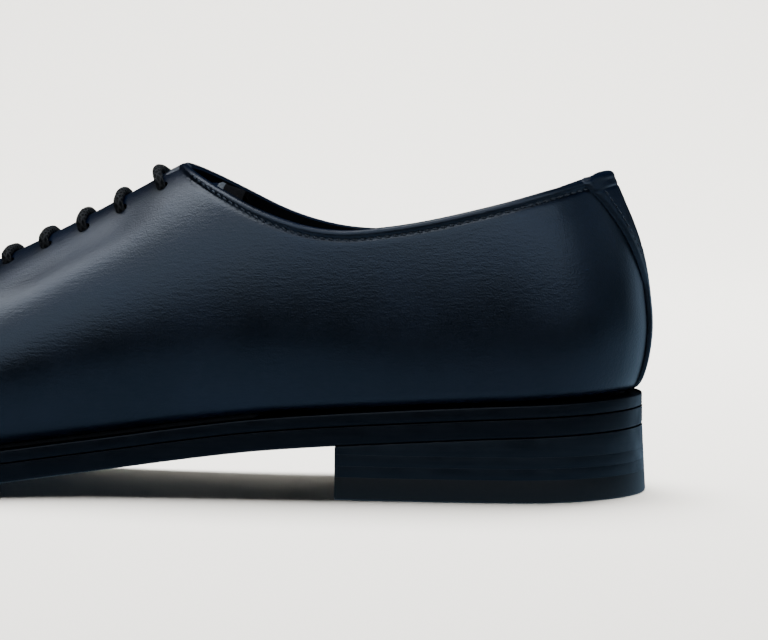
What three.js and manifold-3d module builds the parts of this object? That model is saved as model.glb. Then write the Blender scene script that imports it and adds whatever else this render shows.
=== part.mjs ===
// A right whole cut oxford: one hollow upper on a welt, a leather outsole and a stacked heel.
// Millimetres, +Z up, toe towards -Y, the inner (medial) side of the foot towards +X.
// A station is a distance forward from the back edge of the outsole.
import * as THREE from 'three';
import { mergeVertices } from 'three/addons/utils/BufferGeometryUtils.js';
import Module from 'manifold-3d';

const wasm = await Module();
wasm.setup();

// Driving sizes of the sole
const SOLE_LENGTH = 302;
const BALL_WIDTH = 106;
const HEEL_WIDTH = 66;
const OUTSOLE_THICKNESS = 5;
const WELT_THICKNESS = 3.3;
const SEAT_HEIGHT = 18;
const TOE_SPRING = 11;
const EDGE_BEVEL = 0.8;
const WELT_INWARD = 6;
// Shares of the length over which the ruler of the plan grows from the heel width to the ball width
const HEEL_RULER_TO = 0.3;
const BALL_RULER_FROM = 0.66;

// Driving sizes of the heel
const HEEL_LENGTH = 80;
const TOP_PIECE_THICKNESS = 6;
const LIFT_THICKNESS = 3;
const FLAT_LIFTS = 2;
const HEEL_FLARE = 0.9;
const LIFT_STEPS = 22;

// Driving sizes of the upper
const UPPER_WALL = 2;
const INSTEP_HEIGHT = 77.5;
const BACK_HEIGHT = 58.8;
const WELT_REACH = 5.2;
const SEAT_REACH = 2;
const FEATHER_BACK = 2.3;
const TOE_ROUNDING = 17;
const FACING_STATION = 124.6;
const THROAT_STATION = 181;
const THROAT_GAP = 5;
const THROAT_END_SHARE = 0.3;
const COLLAR_FLAT_SHARE = 0.42;
// Stations between which the sole's reach past the upper grows from the seat's to the welt's
const REACH_FROM = 80;
const REACH_TO = 200;
// The bulge fades out where the plan closes, at this share of the heel width
const BULGE_FADE_SHARE = 0.25;
const TOE_FADE_FROM = 0.86;
const TOE_SOFTNESS = 0.97;
// Extra length of the shapes that cut, past what they cut away
const CUTTER_ROOM = 60;
const CUTTER_DEPTH = 20;

// Lacing, tongue, insole and heel strip
const EYELETS_A_SIDE = 5;
const EYELET_PITCH = 10.3;
const EYELET_FROM_TOP = 5.4;
const EYELET_OFF_CENTRE = 10.2;
const EYELET_BORE = 3.4;
const LACE_DIAMETER = 2.6;
const TONGUE_THICKNESS = 2;
const TONGUE_HALF_WIDTH = 16;
const TONGUE_ABOVE_FACING = 17;
const TONGUE_PAST_THROAT = 9;
const TONGUE_SAG = 10;
const TONGUE_SAG_FROM = 6;
const TONGUE_SAG_CURVE = 2.2;
const TONGUE_END_ROUND = 9;
const TONGUE_END_SHARE = 0.55;
const TONGUE_TAPER = 0.8;
// The room for the laces over the tongue closes between these distances from the throat
const ROOM_FADE_BEHIND = 7;
const ROOM_FADE_AHEAD = 3;
const INSOLE_THICKNESS = 3;
const STRIP_THICKNESS = 1.2;
const STRIP_FOLD = 0.6;
const STRIP_TOP_HALF_WIDTH = 18.2;
const STRIP_LOW_HALF_WIDTH = 4.6;
const STRIP_NECK_SHARE = 0.52;
const STRIP_FLARE_CURVE = 1.05;
const STRIP_REACH_SHARE = 0.7;
const INSOLE_CLIMB_LIMIT = 0.95;
const CLEARANCE = 0.3;

// Plan of the sole: shares of the length, half widths as shares of the ball width
const PLAN = [
  { at: 0.00, medial: 0.311, lateral: 0.311 },
  { at: 0.13, medial: 0.311, lateral: 0.311 },
  { at: 0.20, medial: 0.303, lateral: 0.309 },
  { at: 0.28, medial: 0.277, lateral: 0.303 },
  { at: 0.37, medial: 0.252, lateral: 0.311 },
  { at: 0.46, medial: 0.262, lateral: 0.343 },
  { at: 0.53, medial: 0.309, lateral: 0.387 },
  { at: 0.60, medial: 0.377, lateral: 0.434 },
  { at: 0.66, medial: 0.440, lateral: 0.482 },
  { at: 0.72, medial: 0.480, lateral: 0.508 },
  { at: 0.85, medial: 0.512, lateral: 0.494 },
  { at: 1.00, medial: 0.540, lateral: 0.430 },
];
const HEEL_ROUND = 0.112;
const TOE_ROUND = 0.31;
const TOE_FULLNESS = 2.25;

// Height of the tread: behind the ball as a share of the seat height, ahead of it of the toe spring
const TREAD_BEHIND = [
  { at: 0.00, up: 1.000 },
  { at: 0.14, up: 0.911 },
  { at: 0.27, up: 0.772 },
  { at: 0.34, up: 0.668 },
  { at: 0.41, up: 0.520 },
  { at: 0.46, up: 0.405 },
  { at: 0.52, up: 0.285 },
  { at: 0.60, up: 0.130 },
  { at: 0.64, up: 0.045 },
  { at: 0.67, up: 0.000 },
];
const FLAT_FROM = 0.67;
const FLAT_TO = 0.735;
const SPRING_CURVE = 1.75;

// Body of the last. at: share of the sole length. ridge: height of the centre line above the feather
// line, as a share of the instep height. bulge: height of the widest place, as the same share.
// medial and lateral: how far the widest place stands out past the feather line, of the ball width.
const BODY = [
  { at: 0.00, ridge: 0.970, bulge: 0.205, medial: 0.018, lateral: 0.018, square: 1.95 },
  { at: 0.10, ridge: 0.990, bulge: 0.215, medial: 0.018, lateral: 0.018, square: 1.95 },
  { at: 0.20, ridge: 1.030, bulge: 0.245, medial: 0.026, lateral: 0.020, square: 1.88 },
  { at: 0.27, ridge: 1.040, bulge: 0.275, medial: 0.046, lateral: 0.024, square: 1.82 },
  { at: 0.33, ridge: 1.010, bulge: 0.290, medial: 0.064, lateral: 0.028, square: 1.80 },
  { at: 0.413, ridge: 0.897, bulge: 0.300, medial: 0.068, lateral: 0.028, square: 1.80 },
  { at: 0.52, ridge: 0.727, bulge: 0.270, medial: 0.052, lateral: 0.030, square: 1.78 },
  { at: 0.60, ridge: 0.615, bulge: 0.210, medial: 0.040, lateral: 0.030, square: 1.78 },
  { at: 0.70, ridge: 0.500, bulge: 0.150, medial: 0.032, lateral: 0.028, square: 1.84 },
  { at: 0.80, ridge: 0.405, bulge: 0.120, medial: 0.026, lateral: 0.024, square: 1.98 },
  { at: 0.90, ridge: 0.292, bulge: 0.100, medial: 0.020, lateral: 0.020, square: 2.15 },
  { at: 1.00, ridge: 0.172, bulge: 0.080, medial: 0.014, lateral: 0.014, square: 2.20 },
];

// Back curve of the heel: height and set-in as shares of the back height
const BACK_CURVE = [
  { up: 0.00, inward: 0.000 },
  { up: 0.12, inward: -0.040 },
  { up: 0.28, inward: -0.062 },
  { up: 0.43, inward: -0.053 },
  { up: 0.58, inward: -0.030 },
  { up: 0.72, inward: 0.008 },
  { up: 0.86, inward: 0.064 },
  { up: 0.95, inward: 0.103 },
  { up: 1.02, inward: 0.135 },
  { up: 1.40, inward: 0.340 },
];
const BACK_CURVE_REACH = 0.32;
const BACK_CURVE_FADE = 1.5;

// Share of the climb from the feather line to the ridge at which the widest place lies
const BULGE_CLIMB = 0.3;

// Topline seen from the side: share of the facing station, height above the ground as a share of the
// height at the back of the collar
const TOPLINE = [
  { at: -0.16, medial: 1.006, lateral: 1.006 },
  { at: 0.08, medial: 0.997, lateral: 0.995 },
  { at: 0.19, medial: 0.958, lateral: 0.944 },
  { at: 0.28, medial: 0.921, lateral: 0.889 },
  { at: 0.37, medial: 0.888, lateral: 0.850 },
  { at: 0.455, medial: 0.861, lateral: 0.824 },
  { at: 0.54, medial: 0.842, lateral: 0.808 },
  { at: 0.63, medial: 0.832, lateral: 0.808 },
  { at: 0.71, medial: 0.847, lateral: 0.826 },
  { at: 0.80, medial: 0.890, lateral: 0.870 },
  { at: 0.89, medial: 0.952, lateral: 0.940 },
  { at: 0.96, medial: 1.004, lateral: 1.000 },
  { at: 1.00, medial: 1.034, lateral: 1.034 },
];

// One half of a lace bar, from its hidden end in the eyelet to the middle: share of the eyelet's
// distance off centre, height above the leather in lace radii and past the clearance
const LACE_RISE = [
  { out: 1.00, radii: 0, above: -0.5 },
  { out: 1.00, radii: 0, above: 1.3 },
  { out: 0.86, radii: 1, above: 0.8 },
  { out: 0.55, radii: 1, above: 0.5 },
  { out: 0.25, radii: 1, above: 0.5 },
  { out: 0.00, radii: 1, above: 0.5 },
];

// Smooth curve through the rows of a table
function along(table, key, value, input = 'at') {
  const last = table.length - 1;
  if (value <= table[0][input]) return table[0][key];
  if (value >= table[last][input]) return table[last][key];
  let i = 0;
  while (value > table[i + 1][input]) i += 1;
  const slope = (a, b) => (table[b][key] - table[a][key]) / (table[b][input] - table[a][input]);
  const span = table[i + 1][input] - table[i][input];
  const here = slope(i, i + 1);
  const before = i > 0 ? (slope(i - 1, i) + here) / 2 : here;
  const after = i + 1 < last ? (here + slope(i + 1, i + 2)) / 2 : here;
  const t = (value - table[i][input]) / span;
  const t2 = t * t;
  const t3 = t2 * t;
  return table[i][key] * (2 * t3 - 3 * t2 + 1) + table[i + 1][key] * (3 * t2 - 2 * t3)
    + span * (before * (t3 - 2 * t2 + t) + after * (t3 - t2));
}

// Half width of the sole at a station, grown or shrunk by an amount, round at both ends
function soleHalfWidth(station, side, grow = 0) {
  const start = -grow;
  const end = SOLE_LENGTH + grow;
  const heelRound = HEEL_ROUND * SOLE_LENGTH + grow;
  const toeRound = TOE_ROUND * SOLE_LENGTH + grow;
  const wide = along(PLAN, side > 0 ? 'medial' : 'lateral', station / SOLE_LENGTH);
  const heelPart = THREE.MathUtils.smoothstep(station / SOLE_LENGTH, HEEL_RULER_TO, BALL_RULER_FROM);
  const ruler = THREE.MathUtils.lerp(HEEL_WIDTH / (2 * PLAN[0].medial), BALL_WIDTH, heelPart);
  let half = wide * ruler + grow;
  if (station < start + heelRound) {
    const t = 1 - (station - start) / heelRound;
    half *= Math.sqrt(Math.max(0, 1 - t * t));
  }
  if (station > end - toeRound) {
    const t = (station - (end - toeRound)) / toeRound;
    half *= Math.sqrt(Math.max(0, 1 - t ** TOE_FULLNESS));
  }
  return Math.max(0, half);
}

// Height of the underside of the outsole above the ground
function treadHeight(station) {
  const share = station / SOLE_LENGTH;
  if (share < FLAT_FROM) return SEAT_HEIGHT * along(TREAD_BEHIND, 'up', share);
  if (share < FLAT_TO) return 0;
  return TOE_SPRING * ((share - FLAT_TO) / (1 - FLAT_TO)) ** SPRING_CURVE;
}

const weltBottom = (station) => treadHeight(station) + OUTSOLE_THICKNESS + CLEARANCE;
const weltTop = (station) => weltBottom(station) + WELT_THICKNESS;
const featherHeight = (station) => weltTop(station) + CLEARANCE;
const collarBackHeight = featherHeight(0) + BACK_HEIGHT;

// How far the sole stands out past the upper
function soleReach(station) {
  const forward = THREE.MathUtils.smoothstep(station, REACH_FROM, REACH_TO);
  return THREE.MathUtils.lerp(SEAT_REACH, WELT_REACH, forward);
}

// Stations crowded towards both ends, where the outline turns round
function endCrowded(from, to, steps) {
  const list = [];
  for (let i = 0; i <= steps; i += 1) {
    list.push(from + (to - from) * (1 - Math.cos(Math.PI * i / steps)) / 2);
  }
  return list;
}

// Stations crowded only towards the heel
function startCrowded(from, to, steps) {
  const list = [];
  for (let i = 0; i <= steps; i += 1) {
    list.push(from + (to - from) * (1 - Math.cos(Math.PI * i / (2 * steps))));
  }
  return list;
}

// Closed mesh from rings with the same number of points, capped by a fan at each end
function loft(rings) {
  const count = rings[0].length;
  const points = rings.flat();
  const faces = [];
  for (let r = 0; r + 1 < rings.length; r += 1) {
    for (let k = 0; k < count; k += 1) {
      const a = r * count + k;
      const b = r * count + (k + 1) % count;
      faces.push(a, b, b + count, a, b + count, a + count);
    }
  }
  const tail = (rings.length - 1) * count;
  for (let k = 1; k + 1 < count; k += 1) {
    faces.push(0, k + 1, k);
    faces.push(tail, tail + k, tail + k + 1);
  }
  const geometry = new THREE.BufferGeometry();
  geometry.setAttribute('position', new THREE.Float32BufferAttribute(points.flatMap((p) => p.toArray()), 3));
  geometry.setIndex(faces);
  return geometry;
}

// Closed solid for cutting and joining, its faces turned outwards
function solid(geometry) {
  const bare = geometry.clone();
  bare.deleteAttribute('normal');
  bare.deleteAttribute('uv');
  const merged = mergeVertices(bare, 1e-4);
  const position = merged.getAttribute('position');
  const index = Array.from(merged.index.array);
  const kept = [];
  let volume = 0;
  const corner = [new THREE.Vector3(), new THREE.Vector3(), new THREE.Vector3()];
  for (let i = 0; i < index.length; i += 3) {
    const [a, b, c] = index.slice(i, i + 3);
    if (a === b || b === c || a === c) continue;
    kept.push(a, b, c);
    corner[0].fromBufferAttribute(position, a);
    corner[1].fromBufferAttribute(position, b);
    corner[2].fromBufferAttribute(position, c);
    volume += corner[0].dot(corner[1].clone().cross(corner[2])) / 6;
  }
  if (volume < 0) kept.reverse();
  const mesh = new wasm.Mesh({
    numProp: 3,
    vertProperties: new Float32Array(position.array),
    triVerts: new Uint32Array(kept),
  });
  return new wasm.Manifold(mesh);
}

// Back to a drawable geometry
function drawn(body) {
  const mesh = body.getMesh();
  const geometry = new THREE.BufferGeometry();
  geometry.setAttribute('position', new THREE.BufferAttribute(new Float32Array(mesh.vertProperties), 3));
  geometry.setIndex(new THREE.BufferAttribute(new Uint32Array(mesh.triVerts), 1));
  const flat = geometry.toNonIndexed();
  flat.computeVertexNormals();
  return flat;
}

const place = (x, station, z) => new THREE.Vector3(x, -station, z);

// One layer of the sole between two heights, with its lower edge beveled
function layer({ grow, from, to, low, high, steps, bevel = 0, stations }) {
  const list = stations ?? endCrowded(from, to, steps);
  const rings = list.map((station) => {
    const medial = Math.max(soleHalfWidth(station, 1, grow), 0.01);
    const lateral = Math.max(soleHalfWidth(station, -1, grow), 0.01);
    const cut = Math.min(bevel, medial / 2, lateral / 2);
    const z0 = low(station);
    const z1 = high(station);
    return [
      place(-lateral + cut, station, z0),
      place(medial - cut, station, z0),
      place(medial, station, z0 + cut),
      place(medial, station, z1),
      place(-lateral, station, z1),
      place(-lateral, station, z0 + cut),
    ];
  });
  return loft(rings);
}

// The last, grown by an amount: rings of arches from the feather line over the ridge
function lastBody(grow, stationSteps = 38, archSteps = 10, drop = 0) {
  const back = FEATHER_BACK - grow;
  const front = SOLE_LENGTH - WELT_REACH + grow;
  const rings = endCrowded(0, 1, stationSteps).map((share) => {
    const level = back + (front - back) * share;
    const ring = [];
    const feather = featherHeight(THREE.MathUtils.clamp(level, 0, SOLE_LENGTH));
    if (drop > 0) {
      ring.push(lastPoint(share, level, 1, 0, grow).setZ(feather - drop));
    }
    for (let k = 0; k <= archSteps; k += 1) ring.push(lastPoint(share, level, 1, k / archSteps, grow));
    for (let k = archSteps - 1; k >= 0; k -= 1) ring.push(lastPoint(share, level, -1, k / archSteps, grow));
    if (drop > 0) {
      ring.push(lastPoint(share, level, -1, 0, grow).setZ(feather - drop));
    }
    return ring;
  });
  return loft(rings);
}

// A point of the last: climb runs from 0 at the feather line to 1 on the ridge
function lastPoint(share, level, side, climb, grow) {
  const station = THREE.MathUtils.clamp(level, 0, SOLE_LENGTH);
  const at = station / SOLE_LENGTH;
  const feather = featherHeight(station);
  const top = feather + INSTEP_HEIGHT * along(BODY, 'ridge', at) + grow;
  const waist = feather + INSTEP_HEIGHT * along(BODY, 'bulge', at);
  const square = along(BODY, 'square', at);
  const inside = soleReach(station) - grow;
  const edge = soleHalfWidth(station, side, -inside);
  const round = Math.min(1, edge / (BULGE_FADE_SHARE * HEEL_WIDTH));
  const out = BALL_WIDTH * along(BODY, side > 0 ? 'medial' : 'lateral', at) * round;
  let x;
  let z;
  if (climb < BULGE_CLIMB) {
    const t = climb / BULGE_CLIMB;
    z = THREE.MathUtils.lerp(feather, waist, t);
    x = edge + out * Math.sin(t * Math.PI / 2);
  } else {
    const turn = (climb - BULGE_CLIMB) / (1 - BULGE_CLIMB) * Math.PI / 2;
    x = (edge + out) * Math.max(0, Math.cos(turn)) ** (2 / square);
    z = waist + (top - waist) * Math.sin(turn) ** (2 / square);
  }
  if (climb === 1) x = 0;
  if (share === 0 || share === 1) x = 0;
  const up = (z - feather) / BACK_HEIGHT;
  const backFade = Math.max(0, 1 - share / BACK_CURVE_REACH) ** BACK_CURVE_FADE;
  const setIn = BACK_HEIGHT * along(BACK_CURVE, 'inward', up, 'up') * backFade;
  const toeFade = THREE.MathUtils.smoothstep(share, TOE_FADE_FROM, 1);
  const rise = THREE.MathUtils.clamp((z - waist) / (top - waist), 0, 1);
  const rounded = (1 - Math.sqrt(1 - (TOE_SOFTNESS * rise) ** 2)) / (1 - Math.sqrt(1 - TOE_SOFTNESS ** 2));
  const toeBack = TOE_ROUNDING * rounded * toeFade;
  return place(side * x, level + setIn - toeBack, z);
}

// Top of the last on its centre line
function ridgeHeight(station) {
  return featherHeight(station) + INSTEP_HEIGHT * along(BODY, 'ridge', station / SOLE_LENGTH);
}

// Point on the outside of the upper near the ridge, off centre by x, with its normal
function facingPoint(station, x) {
  const at = station / SOLE_LENGTH;
  const waist = featherHeight(station) + INSTEP_HEIGHT * along(BODY, 'bulge', at);
  const square = along(BODY, 'square', at);
  const side = Math.sign(x) || 1;
  const inside = soleReach(station);
  const wide = soleHalfWidth(station, side, -inside)
    + BALL_WIDTH * along(BODY, side > 0 ? 'medial' : 'lateral', at);
  const share = Math.min(1, Math.abs(x) / wide);
  return waist + (ridgeHeight(station) - waist) * (1 - share ** square) ** (1 / square);
}

function facingNormal(station, x) {
  const step = 0.5;
  const across = (facingPoint(station, x + step) - facingPoint(station, x - step)) / (2 * step);
  const forward = (facingPoint(station + step, x) - facingPoint(station - step, x)) / (2 * step);
  return new THREE.Vector3(-across, forward, 1).normalize();
}

// Everything above the topline, for opening the collar
function collarCutter(raised = 0) {
  const high = collarBackHeight + CUTTER_ROOM;
  const wide = BALL_WIDTH;
  const inner = HEEL_WIDTH * COLLAR_FLAT_SHARE;
  const steps = 40;
  const rings = [];
  for (let i = 0; i <= steps; i += 1) {
    const at = THREE.MathUtils.lerp(TOPLINE[0].at, 1, i / steps);
    const station = at * FACING_STATION;
    const medial = collarBackHeight * along(TOPLINE, 'medial', at) + raised;
    const lateral = collarBackHeight * along(TOPLINE, 'lateral', at) + raised;
    rings.push([
      place(-wide, station, lateral),
      place(-inner, station, lateral),
      place(inner, station, medial),
      place(wide, station, medial),
      place(wide, station, high),
      place(-wide, station, high),
    ]);
  }
  return solid(loft(rings));
}

// Upright cutter with a plan outline given as half widths at stations
function planCutter(rows, low, high) {
  const rings = rows.map(([station, half]) => [
    place(-half, station, low),
    place(half, station, low),
    place(half, station, high),
    place(-half, station, high),
  ]);
  return solid(loft(rings));
}

function throatCutter() {
  const front = THROAT_GAP * THROAT_END_SHARE;
  const rows = [[FACING_STATION - CUTTER_DEPTH, THROAT_GAP / 2]];
  rows.push([THROAT_STATION - front * 2, front]);
  for (const turn of [0.25, 0.5, 0.75, 0.95]) {
    const angle = turn * Math.PI / 2;
    rows.push([THROAT_STATION - front * 2 + front * 2 * Math.sin(angle), front * Math.cos(angle)]);
  }
  return planCutter(rows, ridgeHeight(THROAT_STATION) - CUTTER_DEPTH, collarBackHeight + CUTTER_ROOM);
}

// Stations of the eyelets, from the top one forwards
const eyeletStations = Array.from(
  { length: EYELETS_A_SIDE },
  (_, i) => FACING_STATION + EYELET_FROM_TOP + i * EYELET_PITCH,
);

function eyeletCutter(station, side) {
  const x = side * EYELET_OFF_CENTRE;
  const drill = new THREE.CylinderGeometry(EYELET_BORE / 2, EYELET_BORE / 2, UPPER_WALL * 5, 12);
  const normal = facingNormal(station, x);
  drill.applyQuaternion(new THREE.Quaternion().setFromUnitVectors(new THREE.Vector3(0, 1, 0), normal));
  drill.translate(x, -station, facingPoint(station, x));
  return solid(drill);
}

function makeUpper() {
  const inside = lastBody(-UPPER_WALL, 36, 10, 8);
  let upper = solid(lastBody(0)).subtract(solid(inside));
  upper = upper.subtract(collarCutter());
  upper = upper.subtract(throatCutter());
  for (const station of eyeletStations) {
    for (const side of [-1, 1]) upper = upper.subtract(eyeletCutter(station, side));
  }
  return drawn(upper);
}

// Strip over the heel seam, cut between two larger forms of the upper
function makeHeelStrip() {
  const shell = solid(lastBody(CLEARANCE + STRIP_THICKNESS)).subtract(solid(lastBody(CLEARANCE, 38, 10, 8)));
  const low = featherHeight(0);
  const neck = low + BACK_HEIGHT * STRIP_NECK_SHARE;
  const high = collarBackHeight + STRIP_FOLD + STRIP_THICKNESS * 2;
  const steps = 14;
  const rows = [];
  for (let i = 0; i <= steps; i += 1) {
    const z = low + (high - low) * i / steps;
    const flare = THREE.MathUtils.clamp((z - neck) / (collarBackHeight - neck), 0, 1) ** STRIP_FLARE_CURVE;
    rows.push([z, THREE.MathUtils.lerp(STRIP_LOW_HALF_WIDTH, STRIP_TOP_HALF_WIDTH, flare)]);
  }
  const reach = HEEL_ROUND * SOLE_LENGTH * STRIP_REACH_SHARE;
  const rings = rows.map(([z, half]) => [
    new THREE.Vector3(-half, CUTTER_DEPTH, z),
    new THREE.Vector3(half, CUTTER_DEPTH, z),
    new THREE.Vector3(half, -reach, z),
    new THREE.Vector3(-half, -reach, z),
  ]);
  return drawn(shell.intersect(solid(loft(rings))).subtract(collarCutter(STRIP_FOLD)));
}

function makeOutsole() {
  return drawn(solid(layer({
    grow: 0,
    from: 0,
    to: SOLE_LENGTH,
    low: treadHeight,
    high: (station) => treadHeight(station) + OUTSOLE_THICKNESS,
    steps: 44,
    bevel: EDGE_BEVEL,
  })));
}

function makeWelt() {
  const inset = EDGE_BEVEL / 2;
  const hole = WELT_REACH + UPPER_WALL + WELT_INWARD;
  const ring = solid(layer({
    grow: -inset, from: inset, to: SOLE_LENGTH - inset, low: weltBottom, high: weltTop, steps: 44,
  }));
  const opening = solid(layer({
    grow: -hole,
    from: hole,
    to: SOLE_LENGTH - hole,
    low: (station) => weltBottom(station) - WELT_THICKNESS,
    high: (station) => weltTop(station) + WELT_THICKNESS,
    steps: 36,
  }));
  return drawn(ring.subtract(opening));
}

// The insole fills the inside of the upper from the feather line up to its own thickness
function makeInsole() {
  const shrink = -UPPER_WALL - CLEARANCE;
  const back = FEATHER_BACK - shrink;
  const front = SOLE_LENGTH - WELT_REACH + shrink;
  const rings = endCrowded(0, 1, 44).map((share) => {
    const level = THREE.MathUtils.lerp(back, front, share);
    const bulge = INSTEP_HEIGHT * along(BODY, 'bulge', level / SOLE_LENGTH);
    const climb = BULGE_CLIMB * Math.min(INSOLE_CLIMB_LIMIT, INSOLE_THICKNESS / bulge);
    return [
      lastPoint(share, level, -1, 0, shrink),
      lastPoint(share, level, 1, 0, shrink),
      lastPoint(share, level, 1, climb, shrink),
      lastPoint(share, level, -1, climb, shrink),
    ];
  });
  return drawn(solid(loft(rings)));
}

// Lifts of the heel: flat ones below, one shaped to the outsole above, and the top piece on the ground
function makeLift(grow, low, high) {
  return drawn(solid(layer({
    grow,
    low,
    high,
    stations: startCrowded(-grow, HEEL_LENGTH, LIFT_STEPS),
  })));
}

function makeTongue() {
  const from = FACING_STATION - TONGUE_ABOVE_FACING;
  const to = THROAT_STATION + TONGUE_PAST_THROAT;
  const under = UPPER_WALL + CLEARANCE;
  const stationSteps = 26;
  const acrossSteps = 10;
  const rings = [];
  for (let i = 0; i <= stationSteps; i += 1) {
    const station = THREE.MathUtils.lerp(from, to, i / stationSteps);
    const slope = (ridgeHeight(station - 1) - ridgeHeight(station + 1)) / 2;
    const lean = Math.sqrt(1 + slope * slope);
    const fade = [THROAT_STATION - ROOM_FADE_BEHIND, THROAT_STATION + ROOM_FADE_AHEAD];
    const room = CLEARANCE + LACE_DIAMETER * (1 - THREE.MathUtils.smoothstep(station, ...fade));
    const behind = Math.max(0, FACING_STATION + TONGUE_SAG_FROM - station);
    const sag = (behind / (TONGUE_ABOVE_FACING + TONGUE_SAG_FROM)) ** TONGUE_SAG_CURVE;
    const end = THREE.MathUtils.clamp((station - from) / TONGUE_END_ROUND, 0, 1);
    const round = THREE.MathUtils.lerp(TONGUE_END_SHARE, 1, Math.sqrt(1 - (1 - end) ** 2));
    const half = TONGUE_HALF_WIDTH * round * THREE.MathUtils.lerp(1, TONGUE_TAPER, i / stationSteps);
    const top = [];
    const bottom = [];
    for (let k = 0; k <= acrossSteps; k += 1) {
      const x = THREE.MathUtils.lerp(-half, half, k / acrossSteps);
      const z = facingPoint(station, x) - (under + room) * lean - TONGUE_SAG * sag;
      top.push(place(x, station, z));
      bottom.unshift(place(x, station, z - TONGUE_THICKNESS * lean));
    }
    rings.push([...bottom, ...top].reverse());
  }
  return drawn(solid(loft(rings)));
}

// One bar of the lacing, from eyelet to eyelet over the facings
function makeLaceBar(station) {
  const radius = LACE_DIAMETER / 2;
  const side = (sign) => LACE_RISE.map(({ out, radii, above }) => {
    const x = sign * EYELET_OFF_CENTRE * out;
    const normal = facingNormal(station, x);
    return place(x, station, facingPoint(station, x)).addScaledVector(normal, radius * radii + above);
  });
  const path = new THREE.CatmullRomCurve3([...side(1), ...side(-1).reverse().slice(1)]);
  const round = new THREE.Shape();
  round.absarc(0, 0, radius, 0, Math.PI * 2);
  const tube = new THREE.ExtrudeGeometry(round, { steps: 18, curveSegments: 4, extrudePath: path });
  return drawn(solid(tube));
}

const LEATHER = { color: 0x1d2531, roughness: 0.38, metalness: 0 };
const LINING = { color: 0x1b1c1e, roughness: 0.75, metalness: 0 };
const SOLE_EDGE = { color: 0x121416, roughness: 0.45, metalness: 0 };
const RUBBER = { color: 0x101112, roughness: 0.7, metalness: 0 };
const CORD = { color: 0x202226, roughness: 0.8, metalness: 0 };

const shoe = new THREE.Group();

function add(name, geometry, finish) {
  const mesh = new THREE.Mesh(geometry, new THREE.MeshStandardMaterial(finish));
  mesh.name = name;
  shoe.add(mesh);
}

add('upper', makeUpper(), LEATHER);
add('heel_strip', makeHeelStrip(), LEATHER);
add('tongue', makeTongue(), LINING);
add('insole', makeInsole(), LINING);
add('welt', makeWelt(), SOLE_EDGE);
add('outsole', makeOutsole(), SOLE_EDGE);

const flatTop = TOP_PIECE_THICKNESS + FLAT_LIFTS * LIFT_THICKNESS;
add('heel_top_piece', makeLift(HEEL_FLARE, () => 0, () => TOP_PIECE_THICKNESS), RUBBER);
for (let i = 0; i < FLAT_LIFTS; i += 1) {
  const low = TOP_PIECE_THICKNESS + i * LIFT_THICKNESS;
  const flare = HEEL_FLARE * (1 - (i + 1) / (FLAT_LIFTS + 2));
  add(`heel_lift_${i + 1}`, makeLift(flare, () => low, () => low + LIFT_THICKNESS), SOLE_EDGE);
}
add('heel_seat_lift', makeLift(0, () => flatTop, (station) => treadHeight(station) - CLEARANCE), SOLE_EDGE);

eyeletStations.forEach((station, i) => add(`lace_bar_${i + 1}`, makeLaceBar(station), CORD));

// The middle of the shoe's box stands on the origin
const box = new THREE.Box3().setFromObject(shoe);
shoe.position.set(-(box.min.x + box.max.x) / 2, -(box.min.y + box.max.y) / 2, -box.min.z);

export default shoe;
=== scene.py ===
# %% [markdown]
# # A whole cut oxford, right shoe
# The whole upper is one skin of navy calf with no seam but the one down the back of the heel. This
# lesson loads the shoe's frame, whose solids already have the shape of the last, and then makes the
# finely stationed pieces that stand for them: calf, strip, tongue, laces, welt, sole and heel.
# Everything is measured from the same sizes as the frame, so each piece lies where its solid lies.

# %% Load the frame
import math

import bpy
import numpy as np
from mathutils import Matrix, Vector


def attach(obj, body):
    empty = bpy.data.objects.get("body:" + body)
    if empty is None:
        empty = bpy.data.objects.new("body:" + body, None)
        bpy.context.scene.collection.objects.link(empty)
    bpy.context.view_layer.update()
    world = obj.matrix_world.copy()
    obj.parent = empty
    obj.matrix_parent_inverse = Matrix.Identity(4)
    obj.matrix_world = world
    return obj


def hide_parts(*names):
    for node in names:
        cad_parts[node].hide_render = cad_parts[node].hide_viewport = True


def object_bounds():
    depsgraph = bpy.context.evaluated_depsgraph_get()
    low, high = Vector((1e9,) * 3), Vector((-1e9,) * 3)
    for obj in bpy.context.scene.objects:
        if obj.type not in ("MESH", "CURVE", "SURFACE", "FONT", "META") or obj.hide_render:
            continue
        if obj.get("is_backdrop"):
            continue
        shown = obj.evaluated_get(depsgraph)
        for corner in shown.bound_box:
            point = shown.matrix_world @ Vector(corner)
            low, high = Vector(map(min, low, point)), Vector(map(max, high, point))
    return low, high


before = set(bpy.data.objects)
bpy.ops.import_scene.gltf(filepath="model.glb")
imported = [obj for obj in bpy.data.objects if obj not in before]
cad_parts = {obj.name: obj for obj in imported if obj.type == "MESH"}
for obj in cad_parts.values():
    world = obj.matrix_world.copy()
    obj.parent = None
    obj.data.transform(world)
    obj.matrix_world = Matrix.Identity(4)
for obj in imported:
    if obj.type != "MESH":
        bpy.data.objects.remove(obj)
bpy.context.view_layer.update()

# %% [markdown]
# ## Camera, floor and light
# The photograph is taken from the inner side with a long lens, almost level, a little from behind.
# The toe runs out of the left edge of the picture, as it does in the photograph. A camera in Blender
# looks along its own minus Z, so one track constraint's worth of turning points it at the shoe.

# %% Camera
PICTURE = (768, 640)
FOCAL_PIXELS = 3700
SENSOR_MM = 36
EYE = Vector((0.99565, 0.18412, 0.121))
AIM = Vector((0.001128, 0.07959, 0.0454))

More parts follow.
